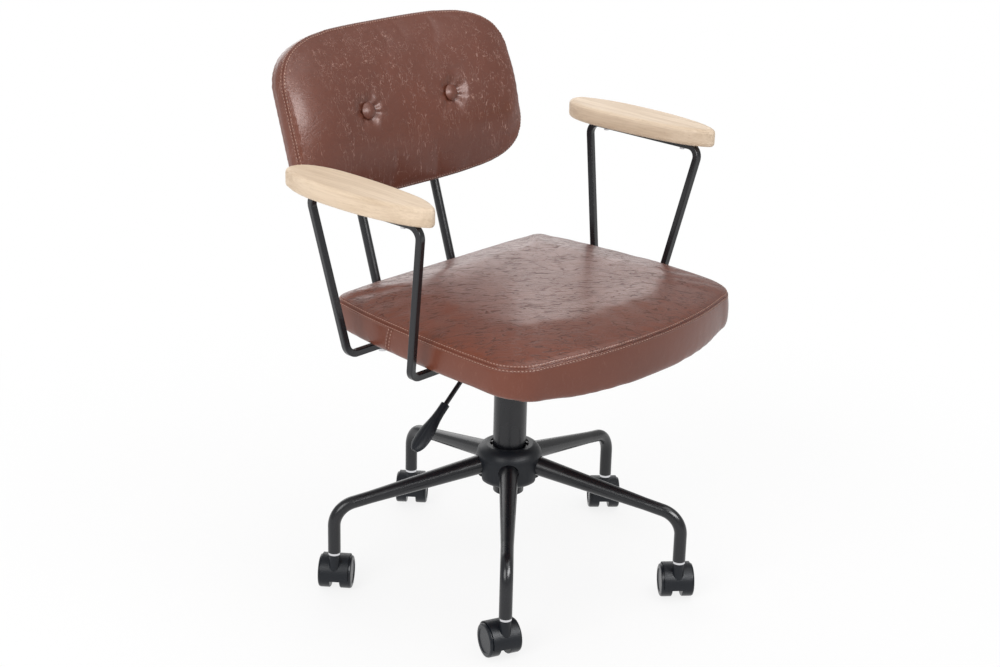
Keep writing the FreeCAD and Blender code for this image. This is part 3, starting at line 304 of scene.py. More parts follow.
def leather_group():
    """Grained leather with long creases, painted shade in the creases and short light scuffs."""
    tree, given, result = new_group(
        "Leather",
        [("Vector", "Vector", None), ("Color", "Color", (0.15, 0.05, 0.03, 1)),
         ("Dark", "Color", (0.07, 0.02, 0.01, 1)), ("Scuff", "Color", (0.36, 0.18, 0.13, 1)),
         ("Creases", "Float", 1.0), ("Crease Height", "Float", -1.0), ("Scuffs", "Float", 1.0)],
        [("Color", "Color"), ("Roughness", "Float"), ("Height", "Float")])
    vector = given.outputs["Vector"]
    bent = warped(tree, vector, 9.0, 0.035)
    creases = cracks(tree, stretch(tree, bent, (1.0, 5.0, 3.0)), 15.0, 0.03)
    creases = math_node(tree, "MULTIPLY", creases, patches(tree, vector, 16.0, 0.34, 0.54))
    fine = hairs(tree, stretch(tree, warped(tree, vector, 16.0, 0.03), (1.0, 5.0, 3.0)), 27.0, 0.04)
    fine = math_node(tree, "MULTIPLY", fine, patches(tree, vector, 26.0, 0.34, 0.50))
    finer = hairs(tree, stretch(tree, warped(tree, vector, 30.0, 0.02), (1.0, 4.2, 3.0)), 60.0, 0.03)
    finer = math_node(tree, "MULTIPLY", finer, patches(tree, vector, 42.0, 0.38, 0.55))
    fine = math_node(tree, "MAXIMUM", fine, math_node(tree, "MULTIPLY", finer, 0.6))
    lines = math_node(tree, "MAXIMUM", math_node(tree, "MULTIPLY", creases, 0.5), fine)
    # only the hide above a height is creased, so that a seat's side band stays smooth
    height = add(tree, "ShaderNodeSeparateXYZ", {0: vector}).outputs["Z"]
    above = math_node(tree, "SUBTRACT", height, given.outputs["Crease Height"])
    lines = math_node(tree, "MULTIPLY", lines, ramp(tree, above, 0.0, 0.008))
    lines = math_node(tree, "MULTIPLY", lines, given.outputs["Creases"])
    strokes = hairs(tree, stretch(tree, warped(tree, vector, 24.0, 0.008), (1.0, 1.0, 0.18)), 210.0, 0.018)
    broken = patches(tree, stretch(tree, vector, (1.0, 1.0, 0.5)), 85.0, 0.46, 0.58)
    strokes = math_node(tree, "MULTIPLY", strokes, broken)
    kinks = hairs(tree, stretch(tree, warped(tree, vector, 30.0, 0.014), (0.6, 1.0, 0.4)), 170.0, 0.011)
    kinks = math_node(tree, "MULTIPLY", kinks, patches(tree, vector, 60.0, 0.50, 0.60))
    scuffs = math_node(tree, "MAXIMUM", strokes, math_node(tree, "MULTIPLY", kinks, 0.6))
    scuffs = math_node(tree, "MULTIPLY", scuffs, patches(tree, vector, 9.0, 0.28, 0.60))
    scuffs = math_node(tree, "MULTIPLY", scuffs, given.outputs["Scuffs"])
    grain = add(tree, "ShaderNodeTexVoronoi", {"Vector": vector, "Scale": 620.0}).outputs["Distance"]
    cloud = patches(tree, vector, 6.0, 0.3, 0.75)
    base = mixed(tree, math_node(tree, "MULTIPLY", cloud, 0.22), given.outputs["Color"],
                 given.outputs["Dark"])
    # painted shade: the crease lines pull the colour toward Dark, as shade would fall in them
    crease_shaded = mixed(tree, math_node(tree, "MULTIPLY", lines, 0.6), base, given.outputs["Dark"])
    scuffed = mixed(tree, math_node(tree, "MULTIPLY", scuffs, 0.65), crease_shaded, given.outputs["Scuff"])
    tree.links.new(scuffed, result.inputs["Color"])
    rough = math_node(tree, "ADD", math_node(tree, "MULTIPLY", cloud, 0.07), 0.33)
    rough = math_node(tree, "ADD", rough, math_node(tree, "MULTIPLY", lines, 0.25))
    tree.links.new(rough, result.inputs["Roughness"])
    swell = add(tree, "ShaderNodeTexNoise", {"Vector": vector, "Scale": 55.0, "Detail": 3.0}).outputs["Fac"]
    height = math_node(tree, "ADD", math_node(tree, "MULTIPLY", grain, 0.05),
                       math_node(tree, "MULTIPLY", swell, 0.36))
    height = math_node(tree, "SUBTRACT", height, math_node(tree, "MULTIPLY", lines, 0.55))
    height = math_node(tree, "ADD", height, math_node(tree, "MULTIPLY", scuffs, 0.16))
    tree.links.new(height, result.inputs["Height"])
    return tree


def speckle_group():
    """Fine texture of a sprayed, moulded or turned surface, with a slow change of gloss."""
    tree, given, result = new_group(
        "Speckle",
        [("Vector", "Vector", None), ("Color", "Color", (0.02, 0.02, 0.02, 1)), ("Scale", "Float", 700.0),
         ("Roughness", "Float", 0.4), ("Variation", "Float", 0.08)],
        [("Color", "Color"), ("Roughness", "Float"), ("Height", "Float")])
    vector = given.outputs["Vector"]
    fine = add(tree, "ShaderNodeTexNoise",
               {"Vector": vector, "Scale": given.outputs["Scale"], "Detail": 2.0}).outputs["Fac"]
    slow = patches(tree, vector, 18.0, 0.3, 0.7)
    change = math_node(tree, "MULTIPLY", math_node(tree, "SUBTRACT", slow, 0.5), given.outputs["Variation"])
    tree.links.new(math_node(tree, "ADD", given.outputs["Roughness"], change), result.inputs["Roughness"])
    lighter = add(tree, "ShaderNodeVectorMath", {0: given.outputs["Color"], "Scale": 1.35},
                  operation="SCALE").outputs[0]
    share = math_node(tree, "MULTIPLY", fine, 0.6)
    tree.links.new(mixed(tree, share, given.outputs["Color"], lighter), result.inputs["Color"])
    tree.links.new(fine, result.inputs["Height"])
    return tree


def wood_group():
    """Wood cut along its grain: broad figure, fine lines and short dark pores, all along Y."""
    tree, given, result = new_group(
        "Wood",
        [("Vector", "Vector", None), ("Color", "Color", (0.7, 0.5, 0.35, 1)),
         ("Dark", "Color", (0.5, 0.35, 0.2, 1))],
        [("Color", "Color"), ("Roughness", "Float"), ("Height", "Float")])
    vector = given.outputs["Vector"]
    bent = warped(tree, vector, 5.0, 0.012)
    figure = add(tree, "ShaderNodeTexNoise",
                 {"Vector": stretch(tree, bent, (1.0, 0.07, 1.0)), "Scale": 70.0, "Detail": 4.0}).outputs["Fac"]
    lines = add(tree, "ShaderNodeTexNoise",
                {"Vector": stretch(tree, bent, (1.0, 0.03, 1.0)), "Scale": 420.0, "Detail": 3.0}).outputs["Fac"]
    pores = add(tree, "ShaderNodeTexNoise",
                {"Vector": stretch(tree, vector, (1.0, 0.09, 1.0)), "Scale": 900.0, "Detail": 1.0}).outputs["Fac"]
    pores = ramp(tree, pores, 0.62, 0.72)
    figure = ramp(tree, figure, 0.35, 0.7)
    lines = ramp(tree, lines, 0.3, 0.75)
    share = math_node(tree, "ADD", math_node(tree, "MULTIPLY", figure, 0.5),
                      math_node(tree, "MULTIPLY", lines, 0.4))
    share = math_node(tree, "ADD", share, math_node(tree, "MULTIPLY", pores, 0.35))
    tree.links.new(mixed(tree, share, given.outputs["Color"], given.outputs["Dark"]), result.inputs["Color"])
    tree.links.new(math_node(tree, "ADD", math_node(tree, "MULTIPLY", lines, 0.1), 0.46),
                   result.inputs["Roughness"])
    depth = math_node(tree, "ADD", math_node(tree, "MULTIPLY", pores, -0.5),
                      math_node(tree, "MULTIPLY", lines, -0.3))
    tree.links.new(depth, result.inputs["Height"])
    return tree


GROUPS = {}


def group(name):
    """A shared node group, built the first time it is asked for."""
    if name not in GROUPS:
        GROUPS[name] = {"Leather": leather_group, "Speckle": speckle_group, "Wood": wood_group}[name]()
    return GROUPS[name]


def surface(name, group_name, values, bump, turn=(0.0, 0.0, 0.0), scale=(1.0, 1.0, 1.0), **principled):
    """A material whose colour, roughness and bump come from a shared group on Object coordinates."""
    material = bpy.data.materials.new(name)
    material.use_nodes = True
    tree = material.node_tree
    shader = tree.nodes["Principled BSDF"]
    place = add(tree, "ShaderNodeTexCoord").outputs["Object"]
    mapping = add(tree, "ShaderNodeMapping", {"Vector": place, "Rotation": turn, "Scale": scale})
    effect = add(tree, "ShaderNodeGroup", node_tree=group(group_name))
    tree.links.new(mapping.outputs["Vector"], effect.inputs["Vector"])
    for key, value in values.items():
        effect.inputs[key].default_value = value
    tree.links.new(effect.outputs["Color"], shader.inputs["Base Color"])
    tree.links.new(effect.outputs["Roughness"], shader.inputs["Roughness"])
    relief = add(tree, "ShaderNodeBump",
                 {"Height": effect.outputs["Height"], "Distance": bump, "Strength": 1.0})
    tree.links.new(relief.outputs["Normal"], shader.inputs["Normal"])
    for key, value in principled.items():
        shader.inputs[key.replace("_", " ").title().replace("Ior", "IOR")].default_value = value
    return material


def opaque(color):
    """A property's colour with an alpha of 1."""
    return (*color, 1.0)


def leather(name, creases, scuffs, turn=(0.0, 0.0, 0.0), crease_height=-1.0):
    """Glossy faux leather, with its creases above a height and running along a turned X axis."""
    tint = bpy.context.scene.chair_finish
    values = {"Color": opaque(tint.leather), "Dark": opaque(tint.leather_mottle_and_crease_shade),
              "Scuff": opaque(tint.leather_scuff), "Creases": creases, "Crease Height": crease_height,
              "Scuffs": scuffs}
    return surface(name, "Leather", values, 0.0012, turn=turn, specular_ior_level=0.35, coat_weight=0.2,
                   coat_roughness=0.2)


def speckled(name, color, scale, roughness, bump, variation=0.08, **principled):
    """A sprayed, moulded or turned finish."""
    values = {"Color": opaque(color), "Scale": scale, "Roughness": roughness, "Variation": variation}
    return surface(name, "Speckle", values, bump, **principled)


def slot_materials():
    """The material of each slot of the record."""
    tint = bpy.context.scene.chair_finish
    pale = {"Color": opaque(tint.wood), "Dark": opaque(tint.wood_dark)}
    board = {"Color": opaque(tint.plywood), "Dark": opaque(tint.plywood_dark)}
    return {
        "black_enamel": speckled("Black Enamel", tint.enamel, 900.0, 0.26, 0.00003),
        "black_plastic": speckled("Black Plastic", tint.plastic, 1400.0, 0.40, 0.00012,
                                  specular_ior_level=0.3),
        "wheel_plastic": speckled("Wheel Plastic", tint.plastic, 600.0, 0.30, 0.00003,
                                  specular_ior_level=0.3),
        "bright_steel": speckled("Bright Steel", tint.steel, 500.0, 0.16, 0.00001, metallic=1.0),
        "plain_steel": speckled("Plain Steel", tint.steel, 800.0, 0.42, 0.00003, metallic=1.0),
        "leather": leather("Leather Plain", 0.3, 0.4),
        "pale_wood": surface("Pale Wood", "Wood", pale, 0.0001),
        "plywood": surface("Plywood", "Wood", board, 0.0002),
        "white_plastic": speckled("White Plastic", tint.bush, 500.0, 0.45, 0.00002),
    }


# Mesh building

def new_object(name, mesh):
    """An object at the origin that holds a mesh."""
    made = bpy.data.objects.new(name, mesh)
    bpy.context.scene.collection.objects.link(made)
    return made


def from_bmesh(name, bm):
    """A smooth-shaded object made from a bmesh, which is freed."""
    mesh = bpy.data.meshes.new(name)
    bm.to_mesh(mesh)
    bm.free()
    mesh.shade_smooth()
    return new_object(name, mesh)


def bake(obj):
    """Apply an object's modifiers as they stand."""
    graph = bpy.context.evaluated_depsgraph_get()
    graph.update()
    mesh = bpy.data.meshes.new_from_object(obj.evaluated_get(graph), depsgraph=graph)
    obj.modifiers.clear()
    obj.data = mesh
    return obj


def dress(obj, body, material, replaces=()):
    """Give a finished piece its material and the body it rides on."""
    obj.data.materials.clear()
    obj.data.materials.append(material)
    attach(obj, body)
    if replaces:
        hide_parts(*replaces)
    return obj


def solid_from(name, nodes, reshape, shrink):
    """One closed mesh copied from CAD solids, reshaped point by point and drawn in a little."""
    bm = bmesh.new()
    for node in nodes:
        bm.from_mesh(frame["nodes"][node].data)
    bmesh.ops.remove_doubles(bm, verts=bm.verts, dist=1e-5)
    bmesh.ops.triangulate(bm, faces=bm.faces)
    bm.normal_update()
    for vertex in bm.verts:
        vertex.co = reshape(vertex.co) - vertex.normal * shrink
    return from_bmesh(name, bm)


def remesh(obj, size):
    """Rebuild a closed mesh from even cells."""
    modifier = obj.modifiers.new("Remesh", "REMESH")
    modifier.mode = "VOXEL"
    modifier.voxel_size = size
    modifier.use_smooth_shade = True
    return bake(obj)


def inflate(obj, hold):
    """Swell a closed mesh as cloth under pressure, with some points held and every move capped."""
    pad = bpy.context.scene.chair_padding
    rest = [v.co.copy() for v in obj.data.vertices]
    held = obj.vertex_groups.new(name="Held")
    held.add([v.index for v in obj.data.vertices if hold(v.co)], 1.0, "REPLACE")
    cloth = obj.modifiers.new("Cloth", "CLOTH")
    cloth.settings.quality = 6
    cloth.settings.mass = 0.3
    cloth.settings.tension_stiffness = 12.0
    cloth.settings.compression_stiffness = 12.0
    cloth.settings.bending_stiffness = 0.4
    cloth.settings.use_pressure = True
    cloth.settings.uniform_pressure_force = pad.pressure
    cloth.settings.vertex_group_mass = held.name
    cloth.settings.effector_weights.gravity = 0.0
    cloth.point_cache.frame_start = 1
    cloth.point_cache.frame_end = SIMULATION_FRAMES
    for number in range(1, SIMULATION_FRAMES + 1):
        bpy.context.scene.frame_set(number)
    bake(obj)
    bpy.context.scene.frame_set(1)
    for vertex, start in zip(obj.data.vertices, rest):
        move = vertex.co - start
        if move.length > pad.swell_limit:
            vertex.co = start + move.normalized() * pad.swell_limit
    return obj


def relax(obj, rounds):
    """Smooth away the traces of the cells."""
    bm = bmesh.new()
    bm.from_mesh(obj.data)
    for _ in range(rounds):
        bmesh.ops.smooth_vert(bm, verts=bm.verts, factor=0.5, use_axis_x=True, use_axis_y=True, use_axis_z=True)
    bm.to_mesh(obj.data)
    bm.free()
    return obj


def subdivide(obj):
    """One level of smooth subdivision, applied."""
    modifier = obj.modifiers.new("Subdivision", "SUBSURF")
    modifier.levels = 1
    modifier.render_levels = 1
    bake(obj)
    obj.data.shade_smooth()
    return obj


def surface_tree(obj):
    """A search tree of an object's surface."""
    return BVHTree.FromObject(obj, bpy.context.evaluated_depsgraph_get())


def smooth(value, low, high):
    """0 below a range, 1 above it and eased between."""
    share = min(max((value - low) / (high - low), 0.0), 1.0)
    return share * share * (3 - 2 * share)


# Seams

def level_line(obj, flatten, restore, level):
    """The closed line where a flattened shape crosses a level, as points in order."""
    bm = bmesh.new()
    bm.from_mesh(obj.data)
    for vertex in bm.verts:
        vertex.co = flatten(vertex.co)
    cut = bmesh.ops.bisect_plane(
        bm, geom=bm.verts[:] + bm.edges[:] + bm.faces[:], plane_co=(0, 0, level), plane_no=(0, 0, 1))
    edges = {e for e in cut["geom_cut"] if isinstance(e, bmesh.types.BMEdge)}
    longest = []
    while edges:
        edge = edges.pop()
        line = [edge.verts[0], edge.verts[1]]
        while True:
            onward = [e for e in line[-1].link_edges if e in edges]
            if not onward:
                break
            edges.discard(onward[0])
            line.append(onward[0].other_vert(line[-1]))
        if len(line) > len(longest):
            longest = line
    points = [restore(v.co) for v in longest[:-1]]
    bm.free()
    return points


def even(points, step, closed=True):
    """The same line with evenly spaced points."""
    ends = points + points[:1] if closed else points
    lengths = [(b - a).length for a, b in zip(ends, ends[1:])]
    total = sum(lengths)
    count = max(int(round(total / step)), 2)
    wanted = [total * i / (count if closed else count - 1) for i in range(count)]
    made, index, passed = [], 0, 0.0
    for distance in wanted:
        while index < len(lengths) - 1 and passed + lengths[index] < distance:
            passed += lengths[index]
            index += 1
        share = (distance - passed) / max(lengths[index], 1e-9)
        made.append(ends[index].lerp(ends[index + 1], min(max(share, 0.0), 1.0)))
    return made


def eased(vectors, reach, closed=True):
    """Each vector averaged with its neighbours."""
    count = len(vectors)
    made = []
    for i in range(count):
        total = Vector((0, 0, 0))
        for j in range(i - reach, i + reach + 1):
            total += vectors[j % count] if closed else vectors[min(max(j, 0), count - 1)]
        made.append(total / (2 * reach + 1))
    return made


class Seam:
    """A line on a surface, with the direction along it, out of the surface and across it."""

    def __init__(self, tree, points, closed=True):
        step = bpy.context.scene.chair_seam.step
        self.tree = tree
        self.closed = closed
        points = eased(even(points, step, closed), 6, closed)
        self.points = even(points, step, closed)
        count = len(self.points)
        self.along = []
        normals = []
        for i, point in enumerate(self.points):
            after = self.points[(i + 1) % count] if closed else self.points[min(i + 1, count - 1)]
            before = self.points[i - 1] if closed else self.points[max(i - 1, 0)]
            self.along.append((after - before).normalized())
            normals.append(tree.find_nearest(point)[1])
        self.out = [n.normalized() for n in eased(normals, 8, closed)]
        self.across = [t.cross(n).normalized() for t, n in zip(self.along, self.out)]

    def at(self, index, across, lift):
        """A point beside the line, lifted off the surface."""
        guess = self.points[index] + self.across[index] * across
        place, normal, _, _ = self.tree.find_nearest(guess)
        return place + (normal + self.out[index]).normalized() * lift


def seam_profile():
    """The section across a seam: distance from it, height, and how much its stitches pucker it."""
    sizes = bpy.context.scene.chair_seam
    row, ridge, groove = sizes.row_offset, sizes.ridge, sizes.groove
    half = [(0.0, -groove, 0.0), (0.09 * row, -0.1 * groove, 0.0), (0.3 * row, 0.85 * ridge, 0.1),
            (0.62 * row, 0.95 * ridge, 0.3), (0.88 * row, 0.35 * ridge, 0.5), (1.05 * row, 0.1 * ridge, 0.6),
            (1.3 * row, 0.5 * ridge, 0.5), (1.75 * row, 0.25 * ridge, 0.2), (2.3 * row, -0.35 * ridge, 0.0)]
    return [(-a, h, p) for a, h, p in reversed(half[1:])] + half


def seam_band(name, seam):
    """The folded leather along a seam: a grid laid along the line and shaped across it."""
    sizes = bpy.context.scene.chair_seam
    profile = seam_profile()
    count = len(seam.points)
    columns = count + 1 if seam.closed else count
    bm = bmesh.new()
    bmesh.ops.create_grid(bm, x_segments=columns - 1, y_segments=len(profile) - 1, size=0.5)
    for vertex in bm.verts:
        index = int(round((vertex.co.x + 0.5) * (columns - 1)))
        across, lift, pucker = profile[int(round((vertex.co.y + 0.5) * (len(profile) - 1)))]
        wave = math.cos(2 * math.pi * index * sizes.step / sizes.pitch)
        vertex.co = seam.at(index % count, across, lift + pucker * 0.4 * sizes.ridge * wave)
    bmesh.ops.remove_doubles(bm, verts=bm.verts, dist=1e-6)
    bmesh.ops.recalc_face_normals(bm, faces=bm.faces)
    middle = bm.faces[:][len(bm.faces) // 2]
    place, normal, _, _ = seam.tree.find_nearest(middle.calc_center_median())
    if middle.normal.dot(normal) < 0:
        bmesh.ops.reverse_faces(bm, faces=bm.faces)
    return from_bmesh(name, bm)


def stitches(name, seams, rows):
    """Every stitch beside some seams, each a slim drop of thread."""
    sizes = bpy.context.scene.chair_seam
    shape = Matrix.Diagonal((sizes.stitch_length / 2, sizes.thread_radius, sizes.thread_radius))
    stride = sizes.pitch / sizes.step
    places = []
    for seam in seams:
        for row in rows:
            for number in range(int(len(seam.points) / stride)):
                index = int((number + 0.5) * stride)
                axes = Matrix((seam.along[index], seam.across[index], seam.out[index])).transposed()
                place = seam.at(index, row * sizes.row_offset, 0.35 * sizes.ridge)
                places.append(Matrix.Translation(place) @ (axes @ shape).to_4x4())
    whole = bmesh.new()
    # an operator's cost grows with the mesh it works in, so the stitches are made a few at a time
    for start in range(0, len(places), STITCHES_AT_ONCE):
        few = bmesh.new()
        for place in places[start:start + STITCHES_AT_ONCE]:
            bmesh.ops.create_uvsphere(few, u_segments=6, v_segments=5, radius=1.0, matrix=place)
        mesh = bpy.data.meshes.new("few")
        few.to_mesh(mesh)
        few.free()
        whole.from_mesh(mesh)
        bpy.data.meshes.remove(mesh)
    return from_bmesh(name, whole)


def thread_with_painted_highlight():
    """Waxed sewing thread, paler than its own dark brown to paint in the glints on the stitches."""
    tint = bpy.context.scene.chair_finish
    return speckled("Thread", tint.thread, 1800.0, 0.5, 0.0001)


# The seat

class SeatForm:
    """The seat's sag, droop and seam level."""

    def __init__(self):
        pad = bpy.context.scene.chair_padding
        self.middle = (SEAT_LOW + SEAT_HIGH) / 2
        self.half = (SEAT_HIGH - SEAT_LOW) / 2
        self.seam_height = pad.seat_seam_height
        self.corner_sag = pad.corner_sag
        self.front_droop = pad.front_droop
        self.front_crown = pad.front_crown
        self.rear_reach = pad.rear_reach
        self.rear_widening = pad.rear_widening
        self.seam_z = SEAT_LOW.z + pad.seat_seam_height

    def share(self, point):
        """A point's share across and along, from -1 to 1."""
        return (point.x - self.middle.x) / self.half.x, (point.y - self.middle.y) / self.half.y

    def sag(self, point):
        """How far the seam and the top drop at the front corners, less their rise between them."""
        u, v = self.share(point)
        corner = min(abs(u * min(v, 0.0)), 1.0) ** 2
        return self.corner_sag * corner - self.front_crown * max(1 - u * u, 0.0) * smooth(-v, 0.2, 1.0)

    def shape(self, point):
        """The CAD seat with sagging front corners, a front edge that hangs and a fuller rear."""
        u, v = self.share(point)
        up = min(max((point.z - SEAT_LOW.z) / self.seam_height, 0.0), 1.0)
        front = smooth(-v, 0.35, 1.0) * max(1 - abs(u / 1.02) ** 6, 0.0) ** 0.5
        drop = self.sag(point) * up + self.front_droop * front * (1 - up)
        rear = smooth(v, 0.1, 1.0)
        wider = 1 + self.rear_widening * rear
        return Vector((point.x * wider, point.y + self.rear_reach * rear, point.z - drop))

    def level(self, point):
        """A point with the sag taken out, so that the seam is level."""
        return Vector((point.x, point.y, point.z + self.sag(point)))

    def unlevel(self, point):
        """The reverse of level."""
        return Vector((point.x, point.y, point.z - self.sag(point)))


def side_line(tree, side):
    """The upright join in the seat's side band, from the seam to the lower edge."""
    pad, sizes = bpy.context.scene.chair_padding, bpy.context.scene.chair_seam
    points = []
    top = SEAT_LOW.z + pad.seat_seam_height - 0.003
    low = SEAT_LOW.z + 0.007
    for i in range(13):
        start = Vector((side * 0.4, sizes.join_y + 0.0006 * i, top + (low - top) * i / 12))
        points.append(tree.ray_cast(start, Vector((-side, 0, 0)))[0])
    return points


class CHAIR_OT_seat(bpy.types.Operator):
    """Make the padded seat with its seams and stitches"""

    bl_idname = "chair.seat"
    bl_label = "Seat"

    def execute(self, context):
        pad = context.scene.chair_padding
        form = SeatForm()
        seat = solid_from("seat_pad", ["seat_cushion", "seat_board"], form.shape, pad.shrink)
        remesh(seat, pad.seat_voxel)
        inflate(seat, lambda p: p.z < SEAT_LOW.z + 0.010 or abs(form.level(p).z - form.seam_z) < 0.005)
        relax(seat, 5)
        subdivide(seat)
        # creases run across the line of sight from the front right
        crease_turn = (0.0, 0.0, math.radians(42))
        hide = leather("Seat Leather", 1.0, 0.1, crease_turn, form.seam_z)
        dress(seat, "seat", hide, ["seat_cushion", "seat_board"])
        tree = surface_tree(seat)
        line = level_line(seat, form.level, form.unlevel, form.seam_z)
        seam = Seam(tree, line)
        joins = [Seam(tree, side_line(tree, side), closed=False) for side in (-1, 1)]
        dress(seam_band("seat_seam", seam), "seat", hide)
        for side, join in zip(("right", "left"), joins):
            dress(seam_band("seat_join_" + side, join), "seat", hide)
        dress(stitches("seat_stitches", [seam] + joins, (-1, 1)), "seat", thread_with_painted_highlight())
        return {"FINISHED"}


# The back

class BackForm:
    """The back laid flat: across, up the panel, and forward of the seam's plane."""

    def __init__(self):
        pad = bpy.context.scene.chair_padding
        self.middle = Vector((0.0, 0.246, 0.694))
        self.up = Vector((0, math.sin(pad.back_lean), math.cos(pad.back_lean)))
        self.rear = Vector((0, math.cos(pad.back_lean), -math.sin(pad.back_lean)))
        self.half_width = (BACK_HIGH.x - BACK_LOW.x) / 2
        self.half_height = (BACK_HIGH.z - BACK_LOW.z) / 2
        self.wing = pad.back_wing
        self.widening = pad.back_widening
        self.corner_reach = pad.back_corner_reach
        self.face_swell = pad.face_swell
        self.button_drop = pad.button_drop
        middle = self.flat((BUTTON_LOW + BUTTON_HIGH) / 2)
        reach = (BUTTON_HIGH.x - BUTTON_LOW.x) / 2 - (BUTTON_HIGH.z - BUTTON_LOW.z) / 2
        self.packed_buttons = [Vector((side * reach, middle.y)) for side in (-1, 1)]
        self.buttons = [place - Vector((0, self.button_drop)) for place in self.packed_buttons]

    def flat(self, point):
        """A point of the chair laid flat."""
        offset = point - self.middle
        depth = offset.dot(self.rear) + self.wing * (point.x / self.half_width) ** 2
        return Vector((point.x, offset.dot(self.up), -depth))

    def bent(self, flat):
        """The reverse of flat."""
        depth = -flat.z - self.wing * (flat.x / self.half_width) ** 2
        return self.middle + Vector((flat.x, 0, 0)) + self.up * flat.y + self.rear * depth

    def from_button(self, flat, places=None):
        """The offset in the panel from the nearer button."""
        return min((flat.xy - place for place in places or self.buttons), key=lambda offset: offset.length)

    def shape(self, point):
        """The CAD back with a fuller face, fuller lower corners and its buttons a little lower."""
        flat = self.flat(point)
        u, v = flat.x / self.half_width, flat.y / self.half_height
        corner = self.corner_reach * smooth(abs(u), 0.45, 1.0) * smooth(-v, 0.1, 1.0)
        swell = self.face_swell * max(1 - u * u, 0.0) * max(1 - v * v, 0.0) * smooth(flat.z, 0.0, 0.012)
        near = math.exp(-(self.from_button(flat, self.packed_buttons).length / 0.055) ** 2)
        flat.x += self.widening * flat.x + math.copysign(corner, u)
        flat.y -= corner + self.button_drop * near
        flat.z += swell
        return self.bent(flat)


def pucker(obj, form):
    """Raise short folds round each button, strongest just outside it."""
    pad = bpy.context.scene.chair_padding
    height, count = pad.fold_height, pad.fold_count
    for vertex in obj.data.vertices:
        flat = form.flat(vertex.co)
        offset = form.from_button(flat)
        reach = offset.length
        if flat.z > 0 and 0.010 < reach < 0.045:
            angle = math.atan2(offset.y, offset.x)
            fade = min((reach - 0.010) / 0.006, 1.0) * (1 - (reach - 0.010) / 0.035) ** 1.5
            wave = math.cos(count * angle + 0.9 * math.sin(2 * angle + flat.x * 4))
            vertex.co -= form.rear * (height * fade * wave)


class CHAIR_OT_back(bpy.types.Operator):
    """Make the padded back with its seam, stitches and folds"""

    bl_idname = "chair.back"
    bl_label = "Back"

    def execute(self, context):
        pad = context.scene.chair_padding
        form = BackForm()
        back = solid_from("back_pad", ["back_cushion", "back_board"], form.shape, pad.shrink * 0.5)
        remesh(back, pad.back_voxel)
        def hold(point):
            flat = form.flat(point)
            at_seam = abs(flat.z + pad.back_seam_depth) < 0.002
            return flat.z < -0.018 or at_seam or (flat.z > 0 and form.from_button(flat).length < 0.013)

        inflate(back, hold)
        relax(back, 2)
        subdivide(back)
        pucker(back, form)
        hide = leather("Back Leather", 0.15, 1.0)
        dress(back, "seat", hide, ["back_cushion", "back_board"])
        buttons = solid_from("back_buttons", ["tuft_buttons"], form.shape, 0.0)
        buttons.data.set_sharp_from_angle(angle=math.radians(40))
        dress(buttons, "seat", leather("Button Leather", 0.0, 0.3), ["tuft_buttons"])
        seam = Seam(surface_tree(back), level_line(back, form.flat, form.bent, -pad.back_seam_depth))
        dress(seam_band("back_seam", seam), "seat", hide)
        dress(stitches("back_stitches", [seam], (-1, 1)), "seat", thread_with_painted_highlight())
        return {"FINISHED"}


class CHAIR_OT_finishes(bpy.types.Operator):
    """Give every carried-over part the finish of its slot"""

    bl_idname = "chair.finishes"
    bl_label = "Finishes"

    def execute(self, context):
        made = slot_materials()
        for part in frame["record"]["subparts"]:
            mesh = frame["nodes"][part["node"]].data
            mesh.materials.clear()
            mesh.materials.append(made[part["material_slot"]])
        return {"FINISHED"}


# The stage

def lamp(name, place, target, size, power):
    """A soft rectangular lamp that the camera doesn't see."""
    data = bpy.data.lights.new(name, "AREA")
    data.shape = "RECTANGLE"
    data.size, data.size_y = size
    data.energy = power
    made = bpy.data.objects.new(name, data)
    bpy.context.scene.collection.objects.link(made)
    made.location = place
    made.rotation_euler = (Vector(target) - Vector(place)).to_track_quat("-Z", "Y").to_euler()
    made.visible_camera = False
    return made


def white_to_camera(tree, shader, share):
    """A shader that the camera and reflections see partly as plain white."""
    path = add(tree, "ShaderNodeLightPath")
    seen = math_node(tree, "MAXIMUM", path.outputs["Is Camera Ray"], path.outputs["Is Glossy Ray"])
    white = add(tree, "ShaderNodeEmission", {"Color": (1, 1, 1, 1), "Strength": 1.0})
    return add(tree, "ShaderNodeMixShader",
               {0: math_node(tree, "MULTIPLY", seen, share), 1: shader, 2: white.outputs[0]}).outputs[0]


def floor_material():
    """Pale paper that keeps the chair's soft shadow."""
    material = bpy.data.materials.new("Floor")
    material.use_nodes = True
    tree = material.node_tree
    shader = tree.nodes["Principled BSDF"]
    shader.inputs["Base Color"].default_value = opaque(bpy.context.scene.chair_stage.floor)
    shader.inputs["Roughness"].default_value = 0.9
    place = add(tree, "ShaderNodeTexCoord").outputs["Object"]
    away = add(tree, "ShaderNodeVectorMath", {0: place}, operation="LENGTH").outputs["Value"]
    # the paper keeps its shadow near the chair and is plain white further off
    share = ramp(tree, away, 0.55, 1.3, 0.84, 1.0)
    tree.links.new(white_to_camera(tree, shader.outputs[0], share),
                   tree.nodes["Material Output"].inputs["Surface"])
    return material


def white_room():
    """An even room light, white where the camera or a transmitted ray sees it."""
    world = bpy.data.worlds.new("Room")
    world.use_nodes = True
    bpy.context.scene.world = world
    tree = world.node_tree
    path = add(tree, "ShaderNodeLightPath")
    room = bpy.context.scene.chair_stage.room_light
    seen = math_node(tree, "MAXIMUM", path.outputs["Is Camera Ray"], path.outputs["Is Transmission Ray"])
    strength = math_node(tree, "MAXIMUM", seen, room)
    tree.links.new(strength, tree.nodes["Background"].inputs["Strength"])
    tree.nodes["Background"].inputs["Color"].default_value = (1, 1, 1, 1)


